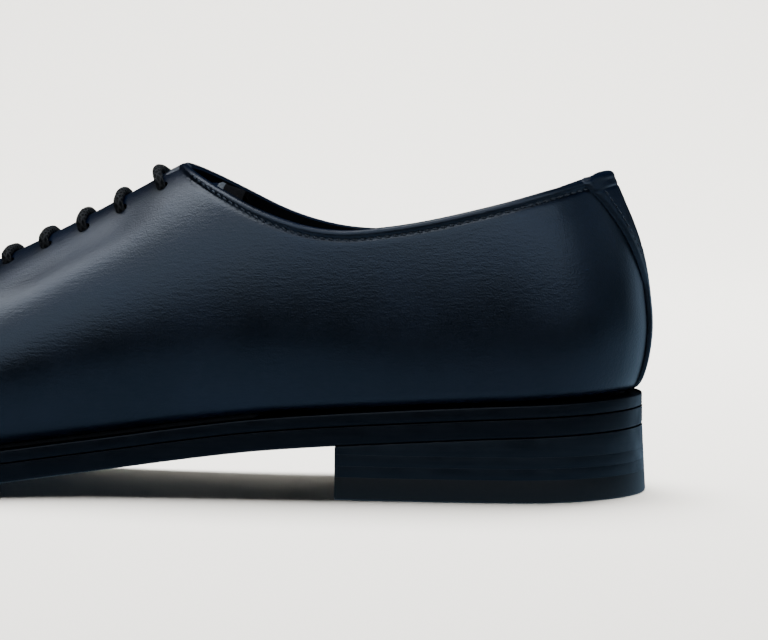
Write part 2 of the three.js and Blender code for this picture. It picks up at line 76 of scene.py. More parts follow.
bpy.ops.object.select_all(action="DESELECT")
turn = (AIM - EYE).to_track_quat("-Z", "Y").to_euler()
bpy.ops.object.camera_add(location=EYE, rotation=turn)
camera = bpy.context.object
camera.name = "product_camera"
camera.data.sensor_width = SENSOR_MM
camera.data.lens = FOCAL_PIXELS / PICTURE[0] * SENSOR_MM
camera.data.clip_start = 0.05
bpy.context.scene.camera = camera
print("camera lens in mm:", round(camera.data.lens, 2))

# %% [markdown]
# ## Colours and nodes
# Colours are written as they are read off a screen, as hex values, and one function turns them into
# the linear light that the renderer works in. One more small function adds a node with its settings
# and its links, so that each material reads as a short list.

# %% Colour and node helpers
def linear(hex_value):
    """A hex colour as linear red, green, blue and alpha"""
    parts = [int(hex_value[i:i + 2], 16) / 255 for i in (1, 3, 5)]
    return (*(p / 12.92 if p <= 0.04045 else ((p + 0.055) / 1.055) ** 2.4 for p in parts), 1.0)


def add_node(tree, kind, settings=None, inputs=None):
    """A node with its settings; an input is a value, or a (node, output) pair to link"""
    node = tree.nodes.new(kind)
    for name, value in (settings or {}).items():
        setattr(node, name, value)
    for name, value in (inputs or {}).items():
        if isinstance(value, tuple) and len(value) == 2 and hasattr(value[0], "outputs"):
            tree.links.new(value[0].outputs[value[1]], node.inputs[name])
        else:
            node.inputs[name].default_value = value
    return node


def new_material(name):
    """An empty material with its shader and output joined"""
    material = bpy.data.materials.new(name)
    material.use_nodes = True
    tree = material.node_tree
    tree.nodes.clear()
    shader = tree.nodes.new("ShaderNodeBsdfPrincipled")
    output = tree.nodes.new("ShaderNodeOutputMaterial")
    tree.links.new(shader.outputs["BSDF"], output.inputs["Surface"])
    return material, tree, shader


def colour_steps(tree, factor, steps):
    """A colour ramp over a factor, from (place, hex) steps"""
    ramp = add_node(tree, "ShaderNodeValToRGB", inputs={"Fac": factor})
    band = ramp.color_ramp
    while len(band.elements) < len(steps):
        band.elements.new(0.5)
    for element, (place, value) in zip(band.elements, steps):
        element.position = place
        element.color = linear(value) if isinstance(value, str) else (value, value, value, 1)
    return ramp


print("helpers ready, mid grey is", [round(v, 3) for v in linear("#808080")[:3]])

# %% [markdown]
# The room is a pale sweep: a flat floor that turns up behind the shoe in one large curve, so no
# edge shows. It is one grid, bent at the back, painted a warm off white. The paint also glows,
# from none near the shoe to most far behind it: painted light that brightens the backdrop while
# the shadow by the shoe stays dark.

# %% Sweep and its paint
FLOOR_HALF = 3.0
SWEEP_NEAR, SWEEP_LENGTH = 1.6, 6.0
SWEEP_START = -0.9
SWEEP_RADIUS = 0.7

bpy.ops.object.select_all(action="DESELECT")
bpy.ops.mesh.primitive_grid_add(x_subdivisions=96, y_subdivisions=2, size=1)
sweep = bpy.context.object
sweep.name = "studio_sweep"
for vertex in sweep.data.vertices:
    along_floor = SWEEP_NEAR - (vertex.co.x + 0.5) * SWEEP_LENGTH
    across = vertex.co.y * 2 * FLOOR_HALF
    bent = max(0.0, SWEEP_START - along_floor)
    angle = min(bent / SWEEP_RADIUS, math.pi / 2)
    rest = max(0.0, bent - SWEEP_RADIUS * math.pi / 2)
    x = along_floor if bent == 0 else SWEEP_START - SWEEP_RADIUS * math.sin(angle)
    z = SWEEP_RADIUS * (1 - math.cos(angle)) + rest
    vertex.co = (x, across, z)
bpy.ops.object.shade_smooth()
bpy.ops.object.mode_set(mode="EDIT")
bpy.ops.mesh.select_all(action="SELECT")
bpy.ops.mesh.normals_make_consistent(inside=False)
bpy.ops.object.mode_set(mode="OBJECT")
sweep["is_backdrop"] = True

paint, tree, shader = new_material("matt_paint_with_painted_glow")
shader.inputs["Base Color"].default_value = linear("#F4F1EA")
shader.inputs["Roughness"].default_value = 1.0
shader.inputs["Specular IOR Level"].default_value = 0.0
# The glow is painted light: none near the shoe, rising to its most far back on the sweep
shader.inputs["Emission Color"].default_value = linear("#F2F1EC")
place = add_node(tree, "ShaderNodeTexCoord")
split = add_node(tree, "ShaderNodeSeparateXYZ", inputs={"Vector": (place, "Object")})
glow = add_node(tree, "ShaderNodeMapRange", {"interpolation_type": "SMOOTHSTEP"}, {
    "Value": (split, "X"), "From Min": -0.12, "From Max": -1.2, "To Min": 0.0, "To Max": 0.33})
tree.links.new(glow.outputs["Result"], shader.inputs["Emission Strength"])
sweep.data.materials.append(paint)
sweep.visible_glossy = False
print("sweep made,", len(sweep.data.polygons), "faces")

# %% [markdown]
# Studio light is large and soft, and dark calf shows mostly what it reflects. So the lamps are
# parted. One lights the floor and throws the shadow, and the calf doesn't mirror it. Two are only
# mirrored: a box above the vamp gives the broad glow there, and a small one low behind the heel
# gives the bright line round the counter.

# %% Lights
def softbox(name, place, target, width, height, power, colour="#FFFFFF"):
    """One rectangular lamp that faces a target"""
    direction = (Vector(target) - Vector(place)).to_track_quat("-Z", "Y").to_euler()
    bpy.ops.object.light_add(type="AREA", location=place, rotation=direction)
    lamp = bpy.context.object
    lamp.name = name
    lamp.data.shape = "RECTANGLE"
    lamp.data.size = width
    lamp.data.size_y = height
    lamp.data.energy = power
    lamp.data.color = linear(colour)[:3]
    lamp.visible_camera = False
    return lamp


floor_box = softbox("floor_box", (-0.50, 0.05, 1.50), (-0.05, 0, 0), 1.2, 1.2, 111)
floor_box.visible_glossy = False
glow_box = softbox("glow_box", (0.04, -0.46, 1.18), (0, 0.0, 0.05), 0.8, 0.8, 15)
glow_box.visible_diffuse = False
heel_box = softbox("heel_box", (-0.76, 0.77, 0.12), (0.02, 0.14, 0.05), 0.26, 0.22, 0.26, "#BCD8F6")
heel_box.visible_diffuse = False

world = bpy.data.worlds.new("dim_room")
bpy.context.scene.world = world
world.use_nodes = True
world.node_tree.nodes["Background"].inputs["Color"].default_value = linear("#D8DADC")
world.node_tree.nodes["Background"].inputs["Strength"].default_value = 0.004

# %% [markdown]
# The rest of the studio is three glowing cards that only reflections show: the pale floor, which
# gives the band low on the side, a wall of silk before the shoe, and a silk behind the heel.

# %% Cards that only show in reflections
def reflection_card(name, place, turn, size, steps, axis, low, high, strength):
    """A card that the calf mirrors, glowing by a ramp along one of its world axes"""
    bpy.ops.object.select_all(action="DESELECT")
    bpy.ops.mesh.primitive_grid_add(
        x_subdivisions=4, y_subdivisions=4, size=1, location=place, rotation=turn)
    card = bpy.context.object
    card.name = name
    card.scale = (size[0], size[1], 1)
    bpy.ops.object.transform_apply(location=True, rotation=True, scale=True)
    card.visible_camera = card.visible_diffuse = card.visible_shadow = False
    material, tree, shader = new_material(name + "_silk")
    place = add_node(tree, "ShaderNodeTexCoord")
    split = add_node(tree, "ShaderNodeSeparateXYZ", inputs={"Vector": (place, "Object")})
    depth = add_node(tree, "ShaderNodeMapRange", inputs={
        "Value": (split, axis), "From Min": low, "From Max": high})
    fade = colour_steps(tree, (depth, "Result"), steps)
    tree.links.new(fade.outputs["Color"], shader.inputs["Emission Color"])
    shader.inputs["Emission Strength"].default_value = strength
    shader.inputs["Base Color"].default_value = linear("#000000")
    shader.inputs["Roughness"].default_value = 1.0
    shader.inputs["Specular IOR Level"].default_value = 0.0
    card.data.materials.append(material)
    card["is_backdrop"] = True
    return card


reflection_card("floor_card", (0, 0, -0.0005), (0, 0, 0), (3.2, 5), [
    (0.0, "#A6C6E4"), (0.4, "#8FABC6"), (1.0, "#020304")], "X", 0.05, 0.28, 1.1)
reflection_card("silk_wall", (1.15, 0.90, 1.20), (0, math.pi / 2, 0), (1.7, 4.8), [
    (0.0, "#000000"), (0.25, "#E4F0FC"), (1.0, "#E4F0FC")], "Z", 0.40, 1.0, 2.6)
reflection_card("heel_silk", (0.10, 1.60, 0.95), (math.pi / 2, 0, 0), (2.2, 1.4), [
    (0.0, "#000000"), (0.3, "#C4DCF4"), (1.0, "#C4DCF4")], "Z", 0.30, 0.9, 0.6)

# %% [markdown]
# ## The sizes of the shoe
# All sizes are in millimetres, with the same names and tables as the frame's solids. A station is a
# distance forward from the back edge of the outsole. The inner (medial) side is towards plus X.

# %% Sizes
SOLE_LENGTH = 302
BALL_WIDTH = 106
HEEL_WIDTH = 66
OUTSOLE_THICKNESS = 5
WELT_THICKNESS = 3.3
SEAT_HEIGHT = 18
TOE_SPRING = 11
HEEL_LENGTH = 80
TOP_PIECE_THICKNESS = 6
LIFT_THICKNESS = 3
HEEL_FLARE = 0.9
UPPER_WALL = 2
INSTEP_HEIGHT = 77.5
BACK_HEIGHT = 58.8
WELT_REACH = 5.2
SEAT_REACH = 2
FEATHER_BACK = 2.3
TOE_ROUNDING = 17
FACING_STATION = 124.6
THROAT_STATION = 181
THROAT_GAP = 5
EYELET_PITCH = 10.3
EYELET_FROM_TOP = 5.4
EYELET_OFF_CENTRE = 10.2
LACE_DIAMETER = 2.6
TONGUE_HALF_WIDTH = 16
TONGUE_ABOVE_FACING = 17
TONGUE_PAST_THROAT = 9
TONGUE_SAG = 10
TONGUE_SAG_CURVE = 2.2
CLEARANCE = 0.3
SHIFT = np.array([1.128286, 149.58962, 0.0])
MM = 0.001

# Stations over which the sole's reach past the calf grows from the seat's to the welt's
REACH_FROM, REACH_TO = 80, 200
HEEL_ROUND, TOE_ROUND, TOE_FULLNESS = 0.112, 0.31, 2.25
FLAT_FROM, FLAT_TO, SPRING_CURVE = 0.67, 0.735, 1.75
BULGE_CLIMB = 0.3
BACK_CURVE_REACH, BACK_CURVE_FADE = 0.32, 1.5
TOE_FADE_FROM = 0.86
TOE_SOFTNESS = 0.97
# Keeps the very top of the ridge round where the body's squareness is under two
RIDGE_SOFT = 5.0
COLLAR_FLAT = HEEL_WIDTH * 0.42

print("sole", SOLE_LENGTH, "mm long,", BALL_WIDTH, "mm wide at the ball")

# %% Tables
# Half widths of the sole, medial and lateral, as shares of the ball width
PLAN = np.array([
    (0.00, .311, .311), (0.13, .311, .311), (0.20, .303, .309), (0.28, .277, .303),
    (0.37, .252, .311), (0.46, .262, .343), (0.53, .309, .387), (0.60, .377, .434),
    (0.66, .440, .482), (0.72, .480, .508), (0.85, .512, .494), (1.00, .540, .430),
])
# Height of the tread behind the ball, as a share of the seat height
TREAD = np.array([
    (0.00, 1.000), (0.14, .911), (0.27, .772), (0.34, .668), (0.41, .520),
    (0.46, .405), (0.52, .285), (0.60, .130), (0.64, .045), (0.67, .000),
])
# Body of the last: ridge and bulge heights, medial and lateral stand-out, squareness
BODY = np.array([
    (0.000, .970, .205, .018, .018, 1.95), (0.100, .990, .215, .018, .018, 1.95),
    (0.200, 1.03, .245, .026, .020, 1.88), (0.270, 1.04, .275, .046, .024, 1.82),
    (0.330, 1.01, .290, .064, .028, 1.80), (0.413, .897, .300, .068, .028, 1.80),
    (0.520, .727, .270, .052, .030, 1.78), (0.600, .615, .210, .040, .030, 1.78),
    (0.700, .500, .150, .032, .028, 1.84), (0.800, .405, .120, .026, .024, 1.98),
    (0.900, .292, .100, .020, .020, 2.15), (1.000, .172, .080, .014, .014, 2.20),
])
# Set-in of the heel's back, by height, as shares of the back height
BACK_CURVE = np.array([
    (0.00, .000), (0.12, -.040), (0.28, -.062), (0.43, -.053), (0.58, -.030),
    (0.72, .008), (0.86, .064), (0.95, .103), (1.02, .135), (1.40, .340),
])
# Height of the topline, medial and lateral, by share of the facing's station
TOPLINE = np.array([
    (-.16, 1.006, 1.006), (.08, .997, .995), (.19, .958, .944), (.28, .921, .889),
    (.37, .888, .850), (.455, .861, .824), (.54, .842, .808), (.63, .832, .808),
    (.71, .847, .826), (.80, .890, .870), (.89, .952, .940), (.96, 1.004, 1.000),
    (1.00, 1.034, 1.034),
])
print("tables:", len(PLAN), len(TREAD), len(BODY), len(BACK_CURVE), len(TOPLINE), "rows")

# %% [markdown]
# A table of a few rows becomes a smooth curve when each span is bent to meet its neighbours at the
# same slope. The surface of the last follows from these curves: every point is named by its share of
# the way from heel to toe, its side, and its climb from the sole's edge up to the ridge.

# %% Curves and the surface of the last
def along(table, column, value):
    """Smooth curve through one column of a table, at many values at once"""
    at, to = table[:, 0], table[:, column]
    value = np.clip(value, at[0], at[-1])
    i = np.clip(np.searchsorted(at, value, side="right") - 1, 0, len(at) - 2)
    slope = np.diff(to) / np.diff(at)
    here = slope[i]
    before = np.where(i > 0, (slope[np.maximum(i - 1, 0)] + here) / 2, here)
    after = np.where(i + 2 < len(at), (here + slope[np.minimum(i + 1, len(slope) - 1)]) / 2, here)
    span = at[i + 1] - at[i]
    t = (value - at[i]) / span
    return (to[i] * (2 * t ** 3 - 3 * t ** 2 + 1) + to[i + 1] * (3 * t ** 2 - 2 * t ** 3)
            + span * (before * (t ** 3 - 2 * t ** 2 + t) + after * (t ** 3 - t ** 2)))


def smooth(value, low, high):
    t = np.clip((value - low) / (high - low), 0, 1)
    return t * t * (3 - 2 * t)


def sole_half_width(station, side, grow=0.0):
    share = station / SOLE_LENGTH
    heel_round = HEEL_ROUND * SOLE_LENGTH + grow
    toe_round = TOE_ROUND * SOLE_LENGTH + grow
    blend = smooth(share, 0.3, 0.66)
    ruler = HEEL_WIDTH / (2 * PLAN[0, 1]) * (1 - blend) + BALL_WIDTH * blend
    half = along(PLAN, 1 if side > 0 else 2, share) * ruler + grow
    t = np.clip(1 - (station + grow) / heel_round, 0, 1)
    half = half * np.sqrt(1 - t * t)
    t = np.clip((station - (SOLE_LENGTH + grow - toe_round)) / toe_round, 0, 1)
    return np.maximum(0, half * np.sqrt(1 - t ** TOE_FULLNESS))


def tread_height(station):
    share = station / SOLE_LENGTH
    spring = np.maximum(0, (share - FLAT_TO) / (1 - FLAT_TO)) ** SPRING_CURVE
    return np.where(share < FLAT_FROM, SEAT_HEIGHT * along(TREAD, 1, share), TOE_SPRING * spring)


def feather_height(station):
    return tread_height(station) + OUTSOLE_THICKNESS + WELT_THICKNESS + 2 * CLEARANCE


COLLAR_BACK = float(feather_height(np.array(0.0))) + BACK_HEIGHT


def sole_reach(station):
    return SEAT_REACH + (WELT_REACH - SEAT_REACH) * smooth(station, REACH_FROM, REACH_TO)


def last_surface(share, side, climb, grow=0.0):
    """Points (x, station, z) in millimetres on the last, grown by an amount"""
    share, climb = np.broadcast_arrays(np.asarray(share, float), np.asarray(climb, float))
    back, front = FEATHER_BACK - grow, SOLE_LENGTH - WELT_REACH + grow
    level = back + (front - back) * share
    station = np.clip(level, 0, SOLE_LENGTH)
    at = station / SOLE_LENGTH
    feather = feather_height(station)
    top = feather + INSTEP_HEIGHT * along(BODY, 1, at) + grow
    waist = feather + INSTEP_HEIGHT * along(BODY, 2, at)
    square = along(BODY, 5, at)
    edge = sole_half_width(station, side, grow - sole_reach(station))
    bulge = BALL_WIDTH * along(BODY, 3 if side > 0 else 4, at)
    out = bulge * np.minimum(1, edge / (0.25 * HEEL_WIDTH))
    t = np.clip(climb / BULGE_CLIMB, 0, 1)
    angle = np.clip((climb - BULGE_CLIMB) / (1 - BULGE_CLIMB), 0, 1) * math.pi / 2
    low = climb < BULGE_CLIMB
    z = np.where(low, feather + (waist - feather) * t,
                 waist + (top - waist) * np.sin(angle) ** (2 / square))
    wide = np.maximum(edge + out, 0.01)
    x = np.where(low, edge + out * np.sin(t * math.pi / 2),
                 wide * np.maximum(0, np.cos(angle)) ** (2 / square))
    drop = ((x ** 2 + RIDGE_SOFT ** 2) ** (square / 2) - RIDGE_SOFT ** square) / wide ** square
    rounded_z = waist + (top - waist) * np.maximum(0, 1 - drop) ** (1 / square)
    z = np.where((x < 3 * RIDGE_SOFT) & (wide > 6 * RIDGE_SOFT) & ~low,
                 z + (rounded_z - z) * (1 - smooth(x, RIDGE_SOFT, 3 * RIDGE_SOFT)), z)
    x = np.where((climb >= 1) | (share <= 0) | (share >= 1), 0, x)
    fade = np.maximum(0, 1 - share / BACK_CURVE_REACH) ** BACK_CURVE_FADE
    set_in = BACK_HEIGHT * along(BACK_CURVE, 1, (z - feather) / BACK_HEIGHT) * fade
    rise = np.clip((z - waist) / (top - waist), 0, 1)
    rounded = (1 - np.sqrt(1 - (TOE_SOFTNESS * rise) ** 2)) / (1 - math.sqrt(1 - TOE_SOFTNESS ** 2))
    toe_back = TOE_ROUNDING * rounded * smooth(share, TOE_FADE_FROM, 1)
    return np.stack([side * x, level + set_in - toe_back, z], -1)


def collar_height(station, x):
    """Height of the topline, which is lower on the outer side"""
    at = station / FACING_STATION
    medial, lateral = (COLLAR_BACK * along(TOPLINE, column, at) for column in (1, 2))
    return lateral + (medial - lateral) * np.clip((x + COLLAR_FLAT) / (2 * COLLAR_FLAT), 0, 1)


def throat_half(station):
    """Half width of the slit between the facings, below nought past its rounded end"""
    front = THROAT_GAP * 0.3
    half = np.interp(station, [FACING_STATION - 20, THROAT_STATION - 2 * front], [THROAT_GAP / 2, front])
    t = (station - (THROAT_STATION - 2 * front)) / (2 * front)
    round_end = front * np.sqrt(np.maximum(0, 1 - t * t))
    return np.where(t < 0, half, np.where(t < 1, round_end, -1.0))


def to_world(points):
    """From (x, station, z) in millimetres to the frame in metres"""
    return (points * np.array([1, -1, 1]) + SHIFT) * MM


def facing_height(station, x):
    """Height of the calf near the ridge, off centre by x"""
    at = station / SOLE_LENGTH
    waist = feather_height(station) + INSTEP_HEIGHT * along(BODY, 2, at)
    ridge = feather_height(station) + INSTEP_HEIGHT * along(BODY, 1, at)
    square = along(BODY, 5, at)
    wide = np.where(
        x >= 0,
        sole_half_width(station, 1, -sole_reach(station)) + BALL_WIDTH * along(BODY, 3, at),
        sole_half_width(station, -1, -sole_reach(station)) + BALL_WIDTH * along(BODY, 4, at))
    share = np.minimum(1, np.abs(x) / wide)
    return waist + (ridge - waist) * (1 - share ** square) ** (1 / square)


toe_tip = to_world(last_surface(1.0, 1, 0.5))
print("toe of the calf at", np.round(toe_tip, 4), "top of the collar at", round(COLLAR_BACK, 2), "mm")

# %% [markdown]
# ## Making a skin
# Each curved piece starts as a grid primitive with as many rows and columns as the piece needs, and
# its points are then laid on the surface by their row and column. Doubles are merged, faces are
# turned outwards, and modifiers are applied as by hand.

# %% Grid and tidy helpers
def only(piece):
    """Selects one piece and nothing else"""
    bpy.ops.object.select_all(action="DESELECT")
    piece.select_set(True)
    bpy.context.view_layer.objects.active = piece


def laid_grid(name, points):
    """A grid primitive whose points are laid at points[row, column], in metres"""
    rows, columns = points.shape[:2]
    bpy.ops.object.select_all(action="DESELECT")
    bpy.ops.mesh.primitive_grid_add(x_subdivisions=rows - 1, y_subdivisions=columns - 1, size=1)
    piece = bpy.context.object
    piece.name = name
    piece.data.name = name
    flat = np.empty(len(piece.data.vertices) * 3)
    piece.data.vertices.foreach_get("co", flat)
    flat = flat.reshape(-1, 3)
    row = np.rint((flat[:, 0] + 0.5) * (rows - 1)).astype(int)
    column = np.rint((flat[:, 1] + 0.5) * (columns - 1)).astype(int)
    piece.data.vertices.foreach_set("co", points[row, column].ravel())
    piece.data.update()
    return piece


def tidy_mesh(piece, merge=0.00001, fill=False):
    """Merges doubles, closes open ends where asked, and turns the faces outwards"""
    only(piece)
    bpy.ops.object.mode_set(mode="EDIT")
    bpy.ops.mesh.select_all(action="SELECT")
    bpy.ops.mesh.remove_doubles(threshold=merge)
    if fill:
        bpy.ops.mesh.select_all(action="SELECT")
        bpy.ops.mesh.fill_holes(sides=0)
        bpy.ops.mesh.select_all(action="SELECT")
    bpy.ops.mesh.normals_make_consistent(inside=False)
    bpy.ops.object.mode_set(mode="OBJECT")
    return piece


def applied(piece, kind, **settings):
    """Adds one modifier with its settings and applies it"""
    only(piece)
    modifier = piece.modifiers.new(kind.lower(), kind)
    for name, value in settings.items():
        setattr(modifier, name, value)
    bpy.ops.object.modifier_apply(modifier=modifier.name)
    return piece


def finish_piece(piece, nodes, angle=40):
    """Shades a piece, lets it ride on the shoe and hides the solids it stands for"""
    only(piece)
    bpy.ops.object.shade_smooth_by_angle(angle=math.radians(angle))
    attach(piece, "root")
    if nodes:
        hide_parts(*nodes)
    triangles = sum(len(p.vertices) - 2 for p in piece.data.polygons)
    print(f"{piece.name}: {triangles} triangles")


def crowded(steps):
    """Shares from 0 to 1, closer together at both ends"""
    return (1 - np.cos(math.pi * np.linspace(0, 1, steps + 1))) / 2


print("crowded shares:", np.round(crowded(4), 3))

# %% [markdown]
# ## Finishes
# Dressed calf is nearly black in its own colour and takes its look from a waxed, close grain: a
# broad dull gloss, broken by pores of about half a millimetre and by fine stretch lines that run
# along the shoe. The grain is bump, so it moves the reflections and nothing else.

# %% Calf
PORE = 0.45 * MM
STRETCH_LINE = 0.75 * MM

calf, tree, shader = new_material("waxed_navy_calf")
place = add_node(tree, "ShaderNodeTexCoord")
drawn_out = add_node(tree, "ShaderNodeMapping", inputs={
    "Vector": (place, "Object"), "Scale": (1.0, 0.22, 1.0)})
pores = add_node(tree, "ShaderNodeTexVoronoi", {"feature": "SMOOTH_F1"}, {
    "Vector": (place, "Object"), "Scale": 1 / PORE, "Smoothness": 0.6})
lines = add_node(tree, "ShaderNodeTexNoise", inputs={
    "Vector": (drawn_out, "Vector"), "Scale": 1 / STRETCH_LINE, "Detail": 3.0, "Roughness": 0.6})
clouds = add_node(tree, "ShaderNodeTexNoise", inputs={
    "Vector": (place, "Object"), "Scale": 1 / (28 * MM), "Detail": 3.0})
dye = colour_steps(tree, (clouds, "Fac"), [(0.35, "#01040D"), (0.65, "#020817")])
tree.links.new(dye.outputs["Color"], shader.inputs["Base Color"])
dull = add_node(tree, "ShaderNodeMapRange", inputs={
    "Value": (clouds, "Fac"), "From Min": 0.3, "From Max": 0.7, "To Min": 0.32, "To Max": 0.39})
tree.links.new(dull.outputs["Result"], shader.inputs["Roughness"])
shader.inputs["IOR"].default_value = 1.44
shader.inputs["Specular Tint"].default_value = linear("#D0DFF3")
fine = add_node(tree, "ShaderNodeBump", inputs={
    "Height": (pores, "Distance"), "Strength": 0.35, "Distance": 0.10 * MM})
grain = add_node(tree, "ShaderNodeBump", inputs={
    "Height": (lines, "Fac"), "Strength": 0.5, "Distance": 0.14 * MM, "Normal": (fine, "Normal")})
tree.links.new(grain.outputs["Normal"], shader.inputs["Normal"])
print("calf: pores", PORE / MM, "mm")

# %% Lining, suede and the bare cut edge
def grained(name, grain_mm, detail, tones, roughness, gloss=0.5, bump=None, harshness=0.5):
    """A finish whose tone, and bump by (strength, depth in mm), follow one fine noise"""
    material, tree, shader = new_material(name)
    place = add_node(tree, "ShaderNodeTexCoord")
    noise = add_node(tree, "ShaderNodeTexNoise", inputs={
        "Vector": (place, "Object"), "Scale": 1 / (grain_mm * MM), "Detail": detail,
        "Roughness": harshness})
    tone = colour_steps(tree, (noise, "Fac"), tones)
    tree.links.new(tone.outputs["Color"], shader.inputs["Base Color"])
    shader.inputs["Roughness"].default_value = roughness
    shader.inputs["Specular IOR Level"].default_value = gloss
    if bump:
        relief = add_node(tree, "ShaderNodeBump", inputs={
            "Height": (noise, "Fac"), "Strength": bump[0], "Distance": bump[1] * MM})
        tree.links.new(relief.outputs["Normal"], shader.inputs["Normal"])
    return material


# Glove leather, with pores of 0.8 mm and no gloss
lining = grained("black_glove_lining", 0.8, 4.0, [(0.3, "#05070A"), (0.7, "#0C0F13")],
                 roughness=0.72, gloss=0.15, bump=(0.35, 0.15))
# Bare fibres of half a millimetre at the tongue's edge
cut_edge = grained("burnished_cut_edge", 0.5, 3.0, [(0.3, "#14181D"), (0.7, "#343A41")],
                   roughness=0.6, bump=(0.4, 0.1))
# Nap of 0.7 mm, fully matt and near black; at the tongue's end it stands partly for the shade behind it,
# painted shade
suede = grained("near_black_suede_as_shade", 0.7, 5.0, [(0.3, "#020203"), (0.7, "#090A0C")],
                roughness=0.95, gloss=0.04, bump=(0.6, 0.2), harshness=0.7)
print("lining, cut edge and suede ready")

# %% [markdown]
# Thread and lace are twisted or braided yarn. The lace's plait follows the cord through its own UV
# map: along the length and round it; the thread's tone is a fine noise. The welt and sole edges are
# leather burnished with hot black wax, with the thin lines of their layers; the heel stack shows its
# lifts, and the top piece is rubber.

# %% Yarn
# Waxed linen thread, with strands of 0.3 mm
thread = grained("waxed_navy_thread", 0.3, 2.0, [(0.35, "#10151D"), (0.65, "#2C3541")],
                 roughness=0.6, gloss=0.12)

LACE_PLAIT = 1.1
cord, tree, shader = new_material("braided_waxed_cotton")
place = add_node(tree, "ShaderNodeUVMap", {"uv_map": "UVMap"})
split = add_node(tree, "ShaderNodeSeparateXYZ", inputs={"Vector": (place, "UV")})
turns = [add_node(tree, "ShaderNodeMath", {"operation": "MULTIPLY_ADD"}, {
    0: (split, "Y"), 1: sign * 5.0, 2: (split, "X")}) for sign in (1, -1)]
waves = [add_node(tree, "ShaderNodeMath", {"operation": "SINE"}, {0: (
    add_node(tree, "ShaderNodeMath", {"operation": "MULTIPLY"}, {0: (turn, "Value"), 1: 2 * math.pi}),
    "Value")}) for turn in turns]
plait = add_node(tree, "ShaderNodeMath", {"operation": "MAXIMUM"}, {
    0: (waves[0], "Value"), 1: (waves[1], "Value")})
# The tone follows the plait's height, darker in the hollows between the strands than on their crowns:
# painted shade in the braid's hollows
tone = colour_steps(tree, (plait, "Value"), [(0.0, "#040506"), (0.9, "#17191C")])
tree.links.new(tone.outputs["Color"], shader.inputs["Base Color"])
shader.inputs["Roughness"].default_value = 0.7
shader.inputs["Specular IOR Level"].default_value = 0.12
braid = add_node(tree, "ShaderNodeBump", inputs={
    "Height": (plait, "Value"), "Strength": 0.8, "Distance": 0.25 * MM})
tree.links.new(braid.outputs["Normal"], shader.inputs["Normal"])
print("yarn: plait of", LACE_PLAIT, "mm")


# %% Edges, heel stack and rubber
def burnished(name, low_hex, high_hex, roughness, layer_mm, coat, gloss):
    """Leather edge ground flat and waxed, with faint lines of its layers"""
    material, tree, shader = new_material(name)
    place = add_node(tree, "ShaderNodeTexCoord")
    flat = add_node(tree, "ShaderNodeMapping", inputs={
        "Vector": (place, "Object"), "Scale": (0.06, 0.06, 1.0)})
    layers = add_node(tree, "ShaderNodeTexNoise", inputs={
        "Vector": (flat, "Vector"), "Scale": 1 / (layer_mm * MM), "Detail": 3.0, "Roughness": 0.65})
    spots = add_node(tree, "ShaderNodeTexNoise", inputs={
        "Vector": (place, "Object"), "Scale": 1 / (6 * MM), "Detail": 4.0})
    tone = colour_steps(tree, (layers, "Fac"), [(0.35, low_hex), (0.7, high_hex)])
    tree.links.new(tone.outputs["Color"], shader.inputs["Base Color"])
    dull = add_node(tree, "ShaderNodeMapRange", inputs={
        "Value": (spots, "Fac"), "From Min": 0.3, "From Max": 0.7,
        "To Min": roughness - 0.06, "To Max": roughness + 0.1})
    tree.links.new(dull.outputs["Result"], shader.inputs["Roughness"])
    shader.inputs["Specular Tint"].default_value = linear("#C9DCF5")
    shader.inputs["Specular IOR Level"].default_value = gloss
    shader.inputs["Coat Weight"].default_value = coat
    shader.inputs["Coat Roughness"].default_value = 0.3
    bump = add_node(tree, "ShaderNodeBump", inputs={
        "Height": (layers, "Fac"), "Strength": 0.3, "Distance": 0.12 * MM})
    tree.links.new(bump.outputs["Normal"], shader.inputs["Normal"])
    return material


welt_edge = burnished("waxed_welt_edge", "#020203", "#050609", 0.42, 0.8, 0.02, 0.16)
sole_edge = burnished("waxed_sole_edge", "#020203", "#050609", 0.42, 0.9, 0.02, 0.16)
stack_edge = burnished("waxed_heel_stack", "#020304", "#06090C", 0.40, 0.9, 0.03, 0.28)

# Moulded rubber with a faint orange peel of 0.9 mm
rubber = grained("moulded_black_rubber", 0.9, 3.0, [(0.3, "#020304"), (0.7, "#050709")],
                 roughness=0.45, gloss=0.26, bump=(0.2, 0.1))
print("edges, stack and rubber ready")

# %% [markdown]
# ## The whole cut
# The skin runs in columns from the toe, back along the inner side, round the heel and forward along
# the outer side. Each column climbs from the sole's edge until it meets the topline, the slit of
# the throat, or the ridge of the vamp. Rows crowd at the rim, where a folded bead and a stitched
# groove need them. Three forms meet the photograph: the bead, the groove, and soft creases.

# %% Columns and rows
RIM_ROWS = np.array([0, .3, .7, 1.1, 1.5, 1.9, 2.2, 2.45, 2.7, 2.95, 3.25, 3.7, 4.4, 5.4, 6.8, 8.6])
FOOT_ROWS = np.array([0, .25, .6, 1.0, 1.5, 2.1, 2.8, 3.6, 4.6])
BODY_ROWS = 30
SIDE_COLUMNS = 210

# Extra columns by the tongue, the facing's corner and the slit's end: from, to and step in mm
EXTRA_COLUMNS = ((112, 118, 0.6), (118, 128, 0.35), (172, 184, 0.5))

columns = crowded(SIDE_COLUMNS)
back_to_front = SOLE_LENGTH - WELT_REACH - FEATHER_BACK
for low, high, step in EXTRA_COLUMNS:
    stations = np.arange(low, high, step)
    columns = np.concatenate([columns, (stations - FEATHER_BACK) / back_to_front])
columns = np.unique(np.round(columns, 6))


